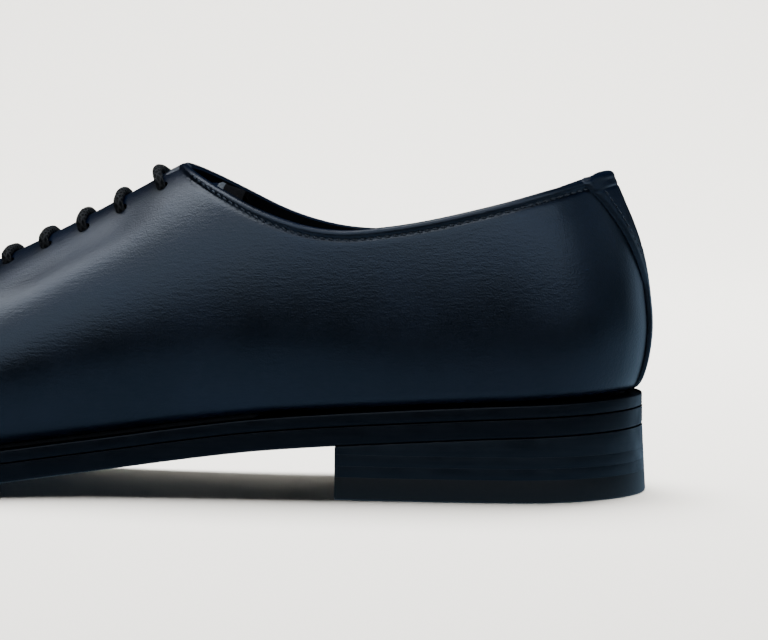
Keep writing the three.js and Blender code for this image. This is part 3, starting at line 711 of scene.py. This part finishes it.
def rim_climb(share, side):
    """How far each column climbs before it meets the topline, the slit or the ridge"""
    climb = np.linspace(0, 1, 801)
    points = last_surface(share[:, None], side, climb[None, :])
    slit = np.where(points[..., 1] < FACING_STATION - 20, -1, throat_half(points[..., 1]))
    over = np.maximum(points[..., 2] - collar_height(points[..., 1], points[..., 0]),
                      slit - np.abs(points[..., 0]))
    cut = over > 0
    first = np.maximum(cut.argmax(axis=1), 1)
    every = np.arange(len(share))
    a, b = over[every, first - 1], over[every, first]
    span = np.where(b - a > 1e-9, b - a, 1.0)
    found = climb[first - 1] - (climb[1] - climb[0]) * a / span
    return np.where(cut.any(axis=1), found, 1.0)


def climbs(share, side):
    """Climb of every row in every column, spaced by real distance from the rim"""
    top = rim_climb(share, side)
    fine = top[:, None] * np.linspace(0, 1, 321)[None, :]
    points = last_surface(share[:, None], side, fine)
    steps = np.linalg.norm(np.diff(points, axis=1), axis=2)
    run = np.concatenate([np.zeros((len(share), 1)), np.cumsum(steps, axis=1)], axis=1)
    rows = []
    for k in range(len(share)):
        total = run[k, -1]
        shrink = min(1.0, total / 24)
        foot = FOOT_ROWS * shrink
        body = np.linspace(foot[-1], total - RIM_ROWS[-1] * shrink, BODY_ROWS + 1)[1:-1]
        reach = np.concatenate([foot, body, total - RIM_ROWS[::-1] * shrink])
        rows.append(np.interp(reach, run[k], fine[k]))
    return np.array(rows)


def side_points(side):
    """Points of one side, and their normals found by small steps along and up the last"""
    climb = climbs(columns, side)
    share = np.broadcast_to(columns[:, None], climb.shape)
    step = 0.0008
    ahead = last_surface(share + step, side, climb) - last_surface(share - step, side, climb)
    upward = last_surface(share, side, climb) - last_surface(share, side, np.maximum(climb - step, 0))
    return last_surface(share, side, climb), np.cross(ahead, upward) * -side


(inner_side, inner_normals), (outer_side, outer_normals) = side_points(1), side_points(-1)
skin_points = np.concatenate([inner_side[::-1], outer_side[1:]])
true_normals = np.concatenate([inner_normals[::-1], outer_normals[1:]])
true_normals /= np.linalg.norm(true_normals, axis=2, keepdims=True) + 1e-12
print("calf skin:", skin_points.shape[0], "columns of", skin_points.shape[1], "rows")

# %% [markdown]
# Every point is then moved along its own normal: out for the bead, in for the groove, and softly in
# and out for the creases, which are placed where the photograph shows them. The widest is
# the hollow that the drawn lacing leaves beside the facings; the small ones lie at the heel's
# collar and where the vamp bends.

# %% Creases, bead and groove
BEAD = np.array([
    (0, -.45), (.3, -.05), (.7, .22), (1.1, .32), (1.5, .30), (1.9, .14), (2.2, -.10),
    (2.45, -.32), (2.7, -.42), (2.95, -.36), (3.25, -.18), (3.7, -.06), (4.4, 0), (9, 0),
])
# The calf turns under where it was pulled over the edge of the insole
TUCK_HEIGHT, TUCK_DEPTH = 3.6, 2.6
# Creases: side (nought for both), station and height of each end, depth, half width
CREASES = [
    (0, (133, 75.5), (172, 55), 1.1, 4.2),
    (0, (188, 58), (206, 34), 0.16, 8.0),
    (0, (204, 52), (218, 30), -0.12, 8.0),
    (1, (28, 74), (22, 75.5), 0.16, 1.0),
    (1, (20, 76.5), (14.5, 77.5), 0.16, 1.0),
    (-1, (30, 77), (21, 79), 0.12, 1.3),
    (1, (95, 42), (150, 30), 0.20, 8.0),
    (-1, (90, 40), (140, 30), 0.25, 8.0),
    (1, (44, 34), (78, 40), -0.15, 9.0),
]


def outward(points):
    """Unit normals of a grid of points, turned away from the middle of the shoe"""
    across = np.cross(np.gradient(points, axis=0), np.gradient(points, axis=1))
    across /= np.linalg.norm(across, axis=2, keepdims=True) + 1e-12
    middle = points.mean(axis=1, keepdims=True) * np.array([0, 1, 1])
    flip = np.sign((across * (points - middle)).sum(axis=2).mean())
    return across * flip


def crease_depth(points):
    """Sum of all listed creases at each point"""
    total = np.zeros(points.shape[:2])
    for side, start, end, depth, width in CREASES:
        start, end = np.array(start, float), np.array(end, float)
        line = end - start
        place = points[..., 1:] - start
        t = np.clip((place @ line) / (line @ line), -0.15, 1.15)
        away = np.linalg.norm(place - t[..., None] * line, axis=2)
        ends = smooth(t, -0.15, 0.25) * (1 - smooth(t, 0.75, 1.15))
        here = 1.0 if side == 0 else (np.sign(points[..., 0]) == side)
        total -= here * depth * ends * np.exp(-(away / width) ** 2)
    return total * smooth(np.abs(points[..., 0]), 0, 12)


normals = outward(skin_points)
rim_line = skin_points[:, -1]
by_throat = ((rim_line[:, None, 1] > 100) & (rim_line[:, None, 1] < THROAT_STATION)
             & (np.abs(skin_points[..., 0]) > 1))
agree = np.sign((true_normals * normals).sum(axis=2, keepdims=True))
normals = np.where(by_throat[..., None], true_normals * agree, normals)
on_ridge = np.abs(skin_points[..., 0]) < 1e-6
both_sides = normals + normals[::-1]
normals[on_ridge] = both_sides[on_ridge] * np.array([0, 1, 1])
normals[on_ridge] /= np.linalg.norm(normals[on_ridge], axis=1, keepdims=True) + 1e-12


def rim_distance(points, line):
    """Distance of each point from a line of points, and the station of the nearest spot on it"""
    spans = np.diff(line, axis=0)
    reached = ((points[:, None] - line[:-1]) * spans).sum(axis=2) / ((spans ** 2).sum(axis=1) + 1e-12)
    spots = line[:-1] + np.clip(reached, 0, 1)[..., None] * spans
    gaps = np.linalg.norm(points[:, None] - spots, axis=2)
    nearest = gaps.argmin(axis=1)
    every = np.arange(len(points))
    return gaps[every, nearest], spots[every, nearest, 1]


from_rim = np.full(skin_points.shape[:2], 50.0)
rim_station = np.repeat(rim_line[:, 1:2], skin_points.shape[1], axis=1)
near_rows = np.zeros(from_rim.shape, bool)
near_rows[:, -len(RIM_ROWS) - 3:] = True
every_row = np.ones(from_rim.shape, bool)
corner = (rim_line[:, 1] > 100) & (rim_line[:, 1] < 140)
for side in (1, -1):
    own_side = (np.arange(len(rim_line)) < len(columns)) == (side > 0)
    for part, chosen in ((own_side & ~corner, near_rows), (own_side & corner, every_row)):
        chosen = chosen & part[:, None]
        from_rim[chosen], rim_station[chosen] = rim_distance(skin_points[chosen], rim_line[own_side])
on_collar = 1 - smooth(rim_station, 127, 132)
move = np.interp(from_rim, BEAD[:, 0], BEAD[:, 1]) * on_collar
slit_edge = smooth(rim_station, 127, 132) * (1 - smooth(rim_station, 180, 182))
move += -0.35 * slit_edge * np.exp(-(from_rim / 0.5) ** 2)
soft_move = crease_depth(skin_points) * np.where(from_rim < 4, from_rim / 4, 1)
above_feather = skin_points[..., 2] - feather_height(np.clip(skin_points[..., 1], 0, SOLE_LENGTH))
tuck = np.clip(1 - above_feather / TUCK_HEIGHT, 0, 1)
soft_move -= TUCK_DEPTH * (1 - np.sqrt(1 - tuck ** 2))
move += soft_move
shaped_points = skin_points + normals * move[..., None]
lining_points = skin_points + normals * (soft_move - UPPER_WALL)[..., None]
print("deepest move", round(float(move.min()), 2), "mm, highest", round(float(move.max()), 2), "mm")

# %% [markdown]
# The wall is part of the same grid: its rows run up the calf, over the crown of the rim and down
# the lining. Then the ten eyelets are punched through both facings. They are blind: bare holes
# with no metal in them.

# %% The calf skin with its wall and eyelets
EYELET_BORE = 3.5
CROWN_RISE = 0.25
# The first pair sits nearer the corner in the photograph
FIRST_EYELET_BACK = 1.0
rim_up = shaped_points[:, -1:] - shaped_points[:, -2:-1]
rim_up /= np.linalg.norm(rim_up, axis=2, keepdims=True) + 1e-9
rim_crown = (shaped_points[:, -1:] + lining_points[:, -1:]) / 2 + CROWN_RISE * rim_up
# Past the slit both sides meet on the ridge, so the skin has no rim there
closed = (np.abs(rim_line[:, 0]) < 1e-6) & (rim_line[:, 1] > FACING_STATION)
rim_crown[closed, 0, 0] = 0
wall_points = np.concatenate(
    [shaped_points, rim_crown, lining_points[:, ::-1], shaped_points[:, :1]], axis=1)
upper = laid_grid("calf_upper", to_world(wall_points))
upper.data.materials.append(calf)
upper.data.materials.append(lining)
spots = {tuple(np.round(to_world(p), 6)) for p in lining_points[:, :-1].reshape(-1, 3)}
buried_spots = {tuple(np.round(to_world(p), 6)) for p in rim_crown[closed, 0]}
for piece_part in (upper.data.vertices, upper.data.edges, upper.data.polygons):
    piece_part.foreach_set("select", np.zeros(len(piece_part), bool))
for face in upper.data.polygons:
    corners = [tuple(np.round(upper.data.vertices[v].co, 6)) for v in face.vertices]
    face.material_index = 1 if sum(corner in spots for corner in corners) >= 2 else 0
    face.select = sum(corner in buried_spots for corner in corners) >= 2
only(upper)
bpy.context.tool_settings.mesh_select_mode = (False, False, True)
bpy.ops.object.mode_set(mode="EDIT")
bpy.ops.mesh.delete(type="FACE")
bpy.ops.object.mode_set(mode="OBJECT")
bpy.context.tool_settings.mesh_select_mode = (True, False, False)
print("faces of the skin and its lining:", len(upper.data.polygons))
tidy_mesh(upper)
eyelet_stations = FACING_STATION + EYELET_FROM_TOP + EYELET_PITCH * np.arange(5)
eyelet_stations[0] -= FIRST_EYELET_BACK


def facing_normal(station, x):
    step = 0.5
    across = (facing_height(station, x + step) - facing_height(station, x - step)) / (2 * step)
    forward = (facing_height(station + step, x) - facing_height(station - step, x)) / (2 * step)
    normal = Vector((-float(across), float(forward), 1.0))
    return normal.normalized()


punches = []
for station in eyelet_stations:
    for side in (-1, 1):
        x = side * EYELET_OFF_CENTRE
        spot = to_world(np.array([x, station, float(facing_height(station, np.array(float(x))))]))
        normal = facing_normal(station, np.array(float(x)))
        bpy.ops.object.select_all(action="DESELECT")
        bpy.ops.mesh.primitive_cylinder_add(
            vertices=24, radius=EYELET_BORE / 2 * MM, depth=12 * MM, location=spot,
            rotation=normal.to_track_quat("Z", "Y").to_euler())
        punches.append(bpy.context.object)
bpy.ops.object.select_all(action="DESELECT")
for punch in punches:
    punch.select_set(True)
bpy.context.view_layer.objects.active = punches[0]
bpy.ops.object.join()
punch = bpy.context.object
applied(upper, "BOOLEAN", operation="DIFFERENCE", object=punch, solver="EXACT")
bpy.data.objects.remove(punch)
finish_piece(upper, ["upper"], 50)

# %% [markdown]
# ## The stitched row below the bead
# One lockstitch shows as a short grain of thread sunk in the leather. It is modelled once, as a
# stretched ball of few faces, and copied along the groove at the pitch of the real seam.

# %% One stitch and the rows
STITCH_PITCH = 2.15
STITCH_LONG, STITCH_WIDE = 1.65, 0.62
GROOVE_FROM_RIM = 2.7


def stitch_row(name, line, normal_at, lift, turn=0.0):
    """Copies of one stitch along a line of points, each lying along it; distances in millimetres"""
    steps = np.linalg.norm(np.diff(line, axis=0), axis=1)
    run = np.concatenate([[0], np.cumsum(steps)])
    places = np.arange(STITCH_PITCH / 2, run[-1], STITCH_PITCH)
    bpy.ops.object.select_all(action="DESELECT")
    bpy.ops.mesh.primitive_uv_sphere_add(segments=8, ring_count=6, radius=0.5)
    stitch = bpy.context.object
    shape = np.array([v.co[:] for v in stitch.data.vertices])
    faces = [tuple(p.vertices) for p in stitch.data.polygons]
    bpy.data.objects.remove(stitch)
    points, polygons = [], []
    for distance in places:
        spot, ahead, up = (np.array([np.interp(distance + extra, run, values[:, i]) for i in range(3)])
                           for extra, values in ((0, line), (0.4, line), (0, normal_at)))
        forward = ahead - spot
        forward /= np.linalg.norm(forward) + 1e-9
        up = up - forward * (up @ forward)
        up /= np.linalg.norm(up)
        sideways = np.cross(up, forward)
        forward = forward * math.cos(turn) + sideways * math.sin(turn)
        sideways = np.cross(up, forward)
        size = np.array([STITCH_LONG, STITCH_WIDE, STITCH_WIDE])
        laid = spot + lift * up + (shape * size) @ np.stack([forward, sideways, up])
        polygons += [tuple(index + len(points) * len(shape) for index in face) for face in faces]
        points.append(laid)
    mesh = bpy.data.meshes.new(name)
    mesh.from_pydata(to_world(np.concatenate(points)).tolist(), [], polygons)
    piece = bpy.data.objects.new(name, mesh)
    bpy.context.collection.objects.link(piece)
    piece.data.materials.append(thread)
    tidy_mesh(piece)
    finish_piece(piece, [], 180)
    print(f"{name}: {len(places)} stitches")
    return piece


row = np.argmin(np.abs(RIM_ROWS - GROOVE_FROM_RIM)) + 1
groove_line = shaped_points[:, -row]
groove_normal = normals[:, -row]
sewn = (rim_line[:, 1] > 9) & (rim_line[:, 1] < 121.5)
half = len(columns)
for name, part in (("inner", slice(0, half)), ("outer", slice(half - 1, None))):
    keep = sewn[part]
    stitch_row(f"collar_stitches_{name}", groove_line[part][keep], groove_normal[part][keep], 0.12, 0.16)

# %% [markdown]
# ## The strip over the heel seam
# The upper closes with one seam down the back of the heel. A narrow strip of the same calf hides
# it: wide at the collar, where it folds over the edge into the shoe, and slim further down. It is
# laid over the skin as a grid from edge to edge, sinks to the calf at its skived edges, and its
# fold carries on over the collar and down inside.

# %% The heel strip
STRIP_THICKNESS = 1.2
STRIP_TOP_HALF, STRIP_LOW_HALF = 16.3, 4.6
STRIP_NECK = 0.52
STRIP_FLARE_CURVE = 0.83
FOLD_LINE_DEPTH = 3.2
FOLD_INSIDE = 9.0
FOLD_LEAN = 0.10
FOLD_RISE = 0.6
SKIVED_EDGE = 0.12
SKIVED_WIDTH = 0.9

back_shares = np.concatenate([[0], np.geomspace(1e-5, 0.12, 160)])
back_climbs = np.linspace(0, 0.999, 160)
HEEL_FORMS = {(side, grow): last_surface(back_shares[:, None], side, back_climbs[None, :], grow)
              for side in (1, -1) for grow in (0.0, 1.0)}


def surface_at_width(x, z, grow):
    """The point of the last's heel at a given half width and height"""
    stations = []
    for form in (HEEL_FORMS[(1 if x >= 0 else -1, g)] for g in (0.0, 1.0)):
        at_height = np.array([[np.interp(z, line[:, 2], line[:, i]) for i in range(2)] for line in form])
        stations.append(np.interp(abs(x), np.abs(at_height[:, 0]), at_height[:, 1]))
    return np.array([x, stations[0] + (stations[1] - stations[0]) * grow, z])


def strip_half(z):
    low = float(feather_height(np.array(0.0)))
    neck = low + BACK_HEIGHT * STRIP_NECK
    flare = np.clip((z - neck) / (COLLAR_BACK - neck), 0, 1) ** STRIP_FLARE_CURVE
    return STRIP_LOW_HALF + (STRIP_TOP_HALF - STRIP_LOW_HALF) * flare


strip_foot = float(feather_height(np.array(0.0))) + 0.3
across = np.sin(np.linspace(-1, 1, 29) * math.pi / 2)
rims = []
for t in across:
    top_spot = surface_at_width(STRIP_TOP_HALF * t, COLLAR_BACK - 2, 0)
    rims.append(float(collar_height(np.array(top_spot[1]), np.array(top_spot[0]))))
strip_rows = []
for share in np.concatenate([np.linspace(0, 0.9, 44), np.linspace(0.9, 1, 24)[1:]]):
    half_wide = strip_half(strip_foot + (COLLAR_BACK - strip_foot) * share)
    line = []
    for t, rim in zip(across, rims):
        z = strip_foot + (rim - 1.2 - strip_foot) * share
        from_edge = half_wide * (1 - abs(t))
        skived = 1 - min(1, from_edge / SKIVED_WIDTH)
        thick = SKIVED_EDGE + STRIP_THICKNESS * math.sqrt(max(0.0, 1 - skived ** 2))
        tucked = max(0.0, 1 - (z - strip_foot) / TUCK_HEIGHT)
        thick -= TUCK_DEPTH * (1 - math.sqrt(1 - tucked ** 2))
        thick -= 0.22 * math.exp(-((rim - z - FOLD_LINE_DEPTH) / 0.35) ** 2)
        line.append(surface_at_width(half_wide * t, z, thick))
    strip_rows.append(line)
strip_rows = np.array(strip_rows)
print("strip:", strip_rows.shape, "points on the outside")

# %% The fold over the collar
radius = (UPPER_WALL + 2 * STRIP_THICKNESS) / 2 - 0.5
top_line = strip_rows[-1]
fold_rows = []
for step in np.linspace(0, 1, 13)[1:]:
    angle = step * math.pi
    line = []
    for k, t in enumerate(across):
        out = top_line[k]
        inward = np.array([-out[0], 30 - out[1], 0.0])
        inward /= np.linalg.norm(inward)
        edge_drop = 0.9 * max(0.0, abs(t) - 0.93) / 0.07
        lift = (rims[k] + FOLD_RISE * (1 - edge_drop) - out[2]) * math.sin(angle)
        line.append(out + inward * radius * (1 - math.cos(angle)) + np.array([0, 0, lift]))
    fold_rows.append(line)
last_line = np.array(fold_rows[-1])
for depth in np.linspace(0, FOLD_INSIDE, 7)[1:]:
    fold_rows.append((last_line - np.array([0, FOLD_LEAN * depth, depth])).tolist())
strip_points = np.concatenate([strip_rows, np.array(fold_rows)])
strip = laid_grid("heel_strip_folded", to_world(strip_points))
tidy_mesh(strip)
strip.data.materials.append(calf)
back_face = max(strip.data.polygons, key=lambda p: p.center.y)
if back_face.normal.y < 0:
    strip.data.flip_normals()
applied(strip, "SOLIDIFY", thickness=0.9 * MM, offset=-1)
applied(strip, "BEVEL", width=0.2 * MM, segments=2, limit_method="ANGLE",
        angle_limit=math.radians(60))
finish_piece(strip, ["heel_strip"], 50)

# %% Stitches on the strip
for side in (-1, 1):
    line, up = [], []
    for z in np.linspace(COLLAR_BACK - 22, COLLAR_BACK - 3.5, 40):
        x = side * (strip_half(z) - 1.9)
        spot = surface_at_width(x, z, STRIP_THICKNESS + SKIVED_EDGE)
        line.append(spot)
        up.append([spot[0], spot[1] - 34, 0])
    line, up = np.array(line), np.array(up)
    stitch_row(f"strip_stitches_{'inner' if side > 0 else 'outer'}", line, up, -0.05)

# %% [markdown]
# ## The tongue
# The tongue lies under the facings and rises a little in the mouth of the shoe. Most of it is calf;
# its end, past the cut edge that shows as a grey line, is near-black suede, partly painted shade
# behind the tongue's end. It is a grid laid under the ridge with the lacing's own thickness of
# room, given 2 mm of wall and rounded edges.

# %% The tongue
TONGUE_THICKNESS = 2
TONGUE_EDGE_STATION = 113.6

tongue_from, tongue_to = FACING_STATION - TONGUE_ABOVE_FACING, THROAT_STATION + TONGUE_PAST_THROAT
tongue_rows = []
for share in np.linspace(0, 1, 91):
    station = tongue_from + (tongue_to - tongue_from) * share
    ahead, behind = (
        float(feather_height(np.array(s)) + INSTEP_HEIGHT * along(BODY, 1, np.array(s / SOLE_LENGTH)))
        for s in (station + 1, station - 1))
    lean = math.sqrt(1 + ((behind - ahead) / 2) ** 2)
    room = CLEARANCE + LACE_DIAMETER * float(1 - smooth(station, THROAT_STATION - 7, THROAT_STATION + 3))
    sag = (max(0.0, FACING_STATION + 6 - station) / (TONGUE_ABOVE_FACING + 6)) ** TONGUE_SAG_CURVE
    end = min(1.0, max(0.0, (station - tongue_from) / 9))
    half_wide = TONGUE_HALF_WIDTH * (0.55 + 0.45 * math.sqrt(1 - (1 - end) ** 2)) * (1 - 0.2 * share)
    xs = np.linspace(-half_wide, half_wide, 33)
    z = facing_height(np.full(33, station), xs) - (UPPER_WALL + CLEARANCE + room) * lean - TONGUE_SAG * sag
    step = 0.5 * math.exp(-((station - TONGUE_EDGE_STATION) / 0.7) ** 2)
    step += 0.25 * float(smooth(station, TONGUE_EDGE_STATION - 0.3, TONGUE_EDGE_STATION + 0.3))
    tongue_rows.append(np.stack([xs, np.full(33, station), z + step - 0.5], -1))
tongue = laid_grid("lined_tongue", to_world(np.array(tongue_rows)))
tidy_mesh(tongue)
if sum(p.normal.z for p in tongue.data.polygons) < 0:
    tongue.data.flip_normals()
for finish in (calf, suede, cut_edge):
    tongue.data.materials.append(finish)
applied(tongue, "SOLIDIFY", thickness=(TONGUE_THICKNESS - 0.5) * MM, offset=-1)
applied(tongue, "BEVEL", width=0.5 * MM, segments=3, limit_method="ANGLE",
        angle_limit=math.radians(60))
edge_y = (SHIFT[1] - TONGUE_EDGE_STATION) * MM
# The suede past the cut edge and underneath is near black; at the end it is partly painted shade behind
# the tongue
for face in tongue.data.polygons:
    past = face.center.y - edge_y
    face.material_index = 2 if abs(past) < 0.9 * MM else (1 if past > 0 or face.normal.z < 0 else 0)
finish_piece(tongue, ["tongue"], 60)

# %% [markdown]
# ## The laces
# Straight bars of thin round braided cord cross the throat. Each bar comes up out of its eyelet on
# the near side, climbs over the edge, arches across the slit and goes down into the eyelet on the
# far side. A tube is a grid rolled round the path, with its seam merged and its ends filled, and its
# UV map runs along the cord and round it, so the plait follows the bend.

# %% Lace bars
# Half a bar: share of the way out to the eyelet, and height over the calf
LACE_PATH = [(1.02, -3.2), (1.02, -0.6), (1.0, 0.5), (0.92, 1.25),
             (0.75, 1.3), (0.42, 1.15), (0.15, 0.9), (0, 0.85)]
LACE_STEPS, LACE_AROUND = 72, 20
LACE_FORWARD = 0.25
LACE_RADIUS = 1.3
# How far each bar bows towards the toe in the middle
LACE_BOWS = (1.9, 0.3, 0.1, 0, 0)


def smooth_path(corners, steps):
    """A Catmull-Rom curve through corners, evenly spaced"""
    corners = np.array(corners)
    padded = np.concatenate([[2 * corners[0] - corners[1]], corners, [2 * corners[-1] - corners[-2]]])
    line = []
    for i in range(1, len(padded) - 2):
        a, b, c, d = padded[i - 1:i + 3]
        for t in np.linspace(0, 1, 12, endpoint=False):
            line.append(0.5 * (2 * b + (c - a) * t + (2 * a - 5 * b + 4 * c - d) * t ** 2
                               + (3 * b - a - 3 * c + d) * t ** 3))
    line.append(corners[-1])
    line = np.array(line)
    run = np.concatenate([[0], np.cumsum(np.linalg.norm(np.diff(line, axis=0), axis=1))])
    even = np.linspace(0, run[-1], steps)
    return np.stack([np.interp(even, run, line[:, i]) for i in range(3)], -1), run[-1]


def cord_tube(name, line, length, radius, around, nodes):
    """A round tube along a line in millimetres"""
    forward = np.gradient(line, axis=0)
    forward /= np.linalg.norm(forward, axis=1, keepdims=True)
    up = np.array([0.0, 1.0, 0.0])
    rings = []
    for spot, ahead in zip(line, forward):
        up = up - ahead * (up @ ahead)
        up /= np.linalg.norm(up)
        sideways = np.cross(ahead, up)
        angle = np.linspace(0, 2 * math.pi, around + 1)
        rings.append(spot + radius * (np.cos(angle)[:, None] * up + np.sin(angle)[:, None] * sideways))
    piece = laid_grid(name, to_world(np.array(rings)))
    layer = piece.data.uv_layers.active or piece.data.uv_layers.new(name="UVMap")
    layer.name = "UVMap"
    for loop in piece.data.loops:
        u, v = layer.data[loop.index].uv
        layer.data[loop.index].uv = (u * length / LACE_PLAIT / 2, v)
    piece.data.materials.append(cord)
    tidy_mesh(piece, fill=True)
    finish_piece(piece, nodes, 180)
    print(f"{name}: cord {length:.1f} mm long")
    return piece


for index, station in enumerate(eyelet_stations):
    corners = []
    for side in (1, -1):
        half_bar = []
        for out, lift in LACE_PATH:
            x = side * EYELET_OFF_CENTRE * out
            normal = np.array(facing_normal(station, np.array(float(x))))
            base = np.array([x, station, float(facing_height(station, np.array(float(x))))])
            half_bar.append(base + lift * normal * np.array([1, -1, 1]))
        corners += half_bar if side > 0 else half_bar[::-1][1:]
    line, length = smooth_path(corners, LACE_STEPS)
    outwards = np.minimum(1, np.abs(line[:, 0]) / EYELET_OFF_CENTRE)
    line[:, 1] += LACE_FORWARD + LACE_BOWS[index] * (1 - outwards ** 2)
    cord_tube(f"lace_{index + 1}", line, length, LACE_RADIUS, LACE_AROUND, [f"lace_bar_{index + 1}"])

# %% [markdown]
# ## Welt, sole and heel
# Every layer of the bottom follows the same plan at its own distance in from the edge. Medial and
# lateral edges are points of one ring at each station, so a layer is again a grid: rings from heel
# to toe, with the rounded edge in the ring's own profile.

# %% Layers of the bottom
def layer_points(shares, profile, grow=0.0, end=None):
    """Rings over a layer; the profile goes from the lower face to the upper: inward, height rule"""
    rings = []
    for share in shares:
        halves = []
        for inward, height in profile:
            own = grow - inward
            back = -own
            front = SOLE_LENGTH + own if end is None else end
            station = back + (front - back) * share
            widths = [float(sole_half_width(np.array(station), side, own)) for side in (-1, 1)]
            if share <= 0 or (share >= 1 and end is None):
                widths = [0.0, 0.0]
            z = float(height(np.array(min(max(station, 0.0), SOLE_LENGTH))))
            halves.append(((-widths[0], station, z), (widths[1], station, z)))
        ring = [h[0] for h in halves[::-1]] + [h[1] for h in halves]
        rings.append(ring + [ring[0]])
    return np.array(rings)


def rounded_edge(low, high, lower_round, upper_round, lean=0.0, deep=3.0, steps=4):
    """Profile of a slab's edge with its two corners rounded; the top lies further in by the lean"""
    profile = [(deep, low)]
    for k in range(steps + 1):
        angle = k / steps * math.pi / 2
        profile.append((lower_round * (1 - math.sin(angle)),
                        lambda s, a=angle: low(s) + lower_round * (1 - math.cos(a))))
    for k in range(steps + 1):
        angle = k / steps * math.pi / 2
        profile.append((lean + upper_round * (1 - math.cos(angle)),
                        lambda s, a=angle: high(s) - upper_round * (1 - math.sin(a))))
    profile.append((deep, high))
    return profile


def layer_piece(name, points, finish, nodes, fill=False):
    piece = laid_grid(name, to_world(points))
    piece.data.materials.append(finish)
    tidy_mesh(piece, fill=fill)
    if fill:
        applied(piece, "BEVEL", width=0.12 * MM, segments=1, limit_method="ANGLE",
                angle_limit=math.radians(60))
    finish_piece(piece, nodes, 45)
    return piece


def outsole_top(station):
    return tread_height(station) + OUTSOLE_THICKNESS


layer_piece("leather_outsole",
            layer_points(crowded(180), rounded_edge(tread_height, outsole_top, 0.9, 0.06)),
            sole_edge, ["outsole"])

# %% The welt
def welt_top(station):
    return tread_height(station) + OUTSOLE_THICKNESS + CLEARANCE + WELT_THICKNESS


def welt_ring(steps, inset):
    """The welt as a closed ring: round the shoe one way, round its own profile the other"""
    shares = crowded(steps)
    rings = []
    for side, run in ((1, shares), (-1, shares[::-1][1:])):
        for share in run:
            reach = float(sole_reach(np.array(share * SOLE_LENGTH)))
            profile = [(13.2, -3.18), (3.0, -3.18), (0.12, -3.18), (0.03, -3.15), (0, -3.08), (0, -1.8),
                       (0, -0.45), (0.06, -0.2), (0.2, -0.05), (0.45, 0), (reach * 0.6, -0.1),
                       (reach + 1.6, 0.0), (reach + 2.6, 0.27), (13.2, 0.27), (13.2, -3.18)]
            line = []
            for inward, rise in profile:
                own = -inset - inward
                station = -own + (SOLE_LENGTH + 2 * own) * share
                wide = 0.0 if share in (0, 1) else float(sole_half_width(np.array(station), side, own))
                z = float(welt_top(np.array(min(max(station, 0), SOLE_LENGTH)))) + rise
                line.append((side * wide, station, z))
            rings.append(line)
    return np.array(rings)


layer_piece("stitched_welt", welt_ring(180, 0.1), welt_edge, ["welt"])

# %% The heel
def flat_height(z):
    return lambda station: np.full(np.shape(station), float(z))


heel_shares = 1 - np.cos(np.linspace(0, math.pi / 2, 61))
JOINT_ROUND = 0.04


def heel_piece(name, low, high, grow, finish, node, rounds):
    points = layer_points(heel_shares, rounded_edge(low, high, *rounds), grow, HEEL_LENGTH)
    return layer_piece(name, points, finish, [node], fill=True)


stack_low = TOP_PIECE_THICKNESS
joint_heights = [0, *(stack_low + k * LIFT_THICKNESS for k in range(3)), SEAT_HEIGHT]
flares = [HEEL_FLARE * (1 - z / SEAT_HEIGHT) for z in joint_heights]
heel_piece("rubber_top_piece", flat_height(0), flat_height(stack_low), flares[0], rubber,
           "heel_top_piece", (0.6, 0.05, flares[0] - flares[1]))
for index in range(2):
    low_z = stack_low + index * LIFT_THICKNESS
    heel_piece(f"stacked_lift_{index + 1}", flat_height(low_z), flat_height(low_z + LIFT_THICKNESS),
               flares[index + 1], stack_edge, f"heel_lift_{index + 1}",
               (JOINT_ROUND, JOINT_ROUND, flares[index + 1] - flares[index + 2]))
heel_piece("seat_lift", flat_height(stack_low + 2 * LIFT_THICKNESS),
           lambda station: tread_height(station) - 0.05, flares[3], stack_edge, "heel_seat_lift",
           (JOINT_ROUND, 0.05, flares[3] - flares[4]))

# %% [markdown]
# ## The insole
# Inside the shoe the foot rests on a leather insole that fills the floor of the upper. Its top is
# covered with a thin sock of the same black glove leather as the lining.

# %% The insole
INSOLE_THICKNESS = 3
insole_grow = -UPPER_WALL - CLEARANCE
insole_back, insole_front = FEATHER_BACK - insole_grow, SOLE_LENGTH - WELT_REACH + insole_grow
insole_rows = []
for share in crowded(120):
    level = insole_back + (insole_front - insole_back) * share
    bulge = INSTEP_HEIGHT * float(along(BODY, 2, np.array(level / SOLE_LENGTH)))
    climb = BULGE_CLIMB * min(0.95, INSOLE_THICKNESS / bulge)
    edges = [last_surface(share, side, c, insole_grow)
             for side, c in ((-1, 0), (1, 0), (1, climb), (-1, climb))]
    tuck_in = np.array([0.9, 1, 1])
    low_left, low_right = edges[0] * tuck_in, edges[1] * tuck_in
    top = [edges[2] + (edges[3] - edges[2]) * t + np.array([0, 0, 0.5 * math.sin(math.pi * t)])
           for t in np.linspace(0, 1, 13)]
    ring = [low_left, low_right, *top]
    insole_rows.append(ring + [ring[0]])
insole = laid_grid("sock_lined_insole", to_world(np.array(insole_rows)))
insole.data.materials.append(lining)
tidy_mesh(insole)
finish_piece(insole, ["insole"], 50)

# %% [markdown]
# ## The end

# %% Sizes and finish
low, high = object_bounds()
print("visual box", [round(v, 4) for v in (*low, *high)])
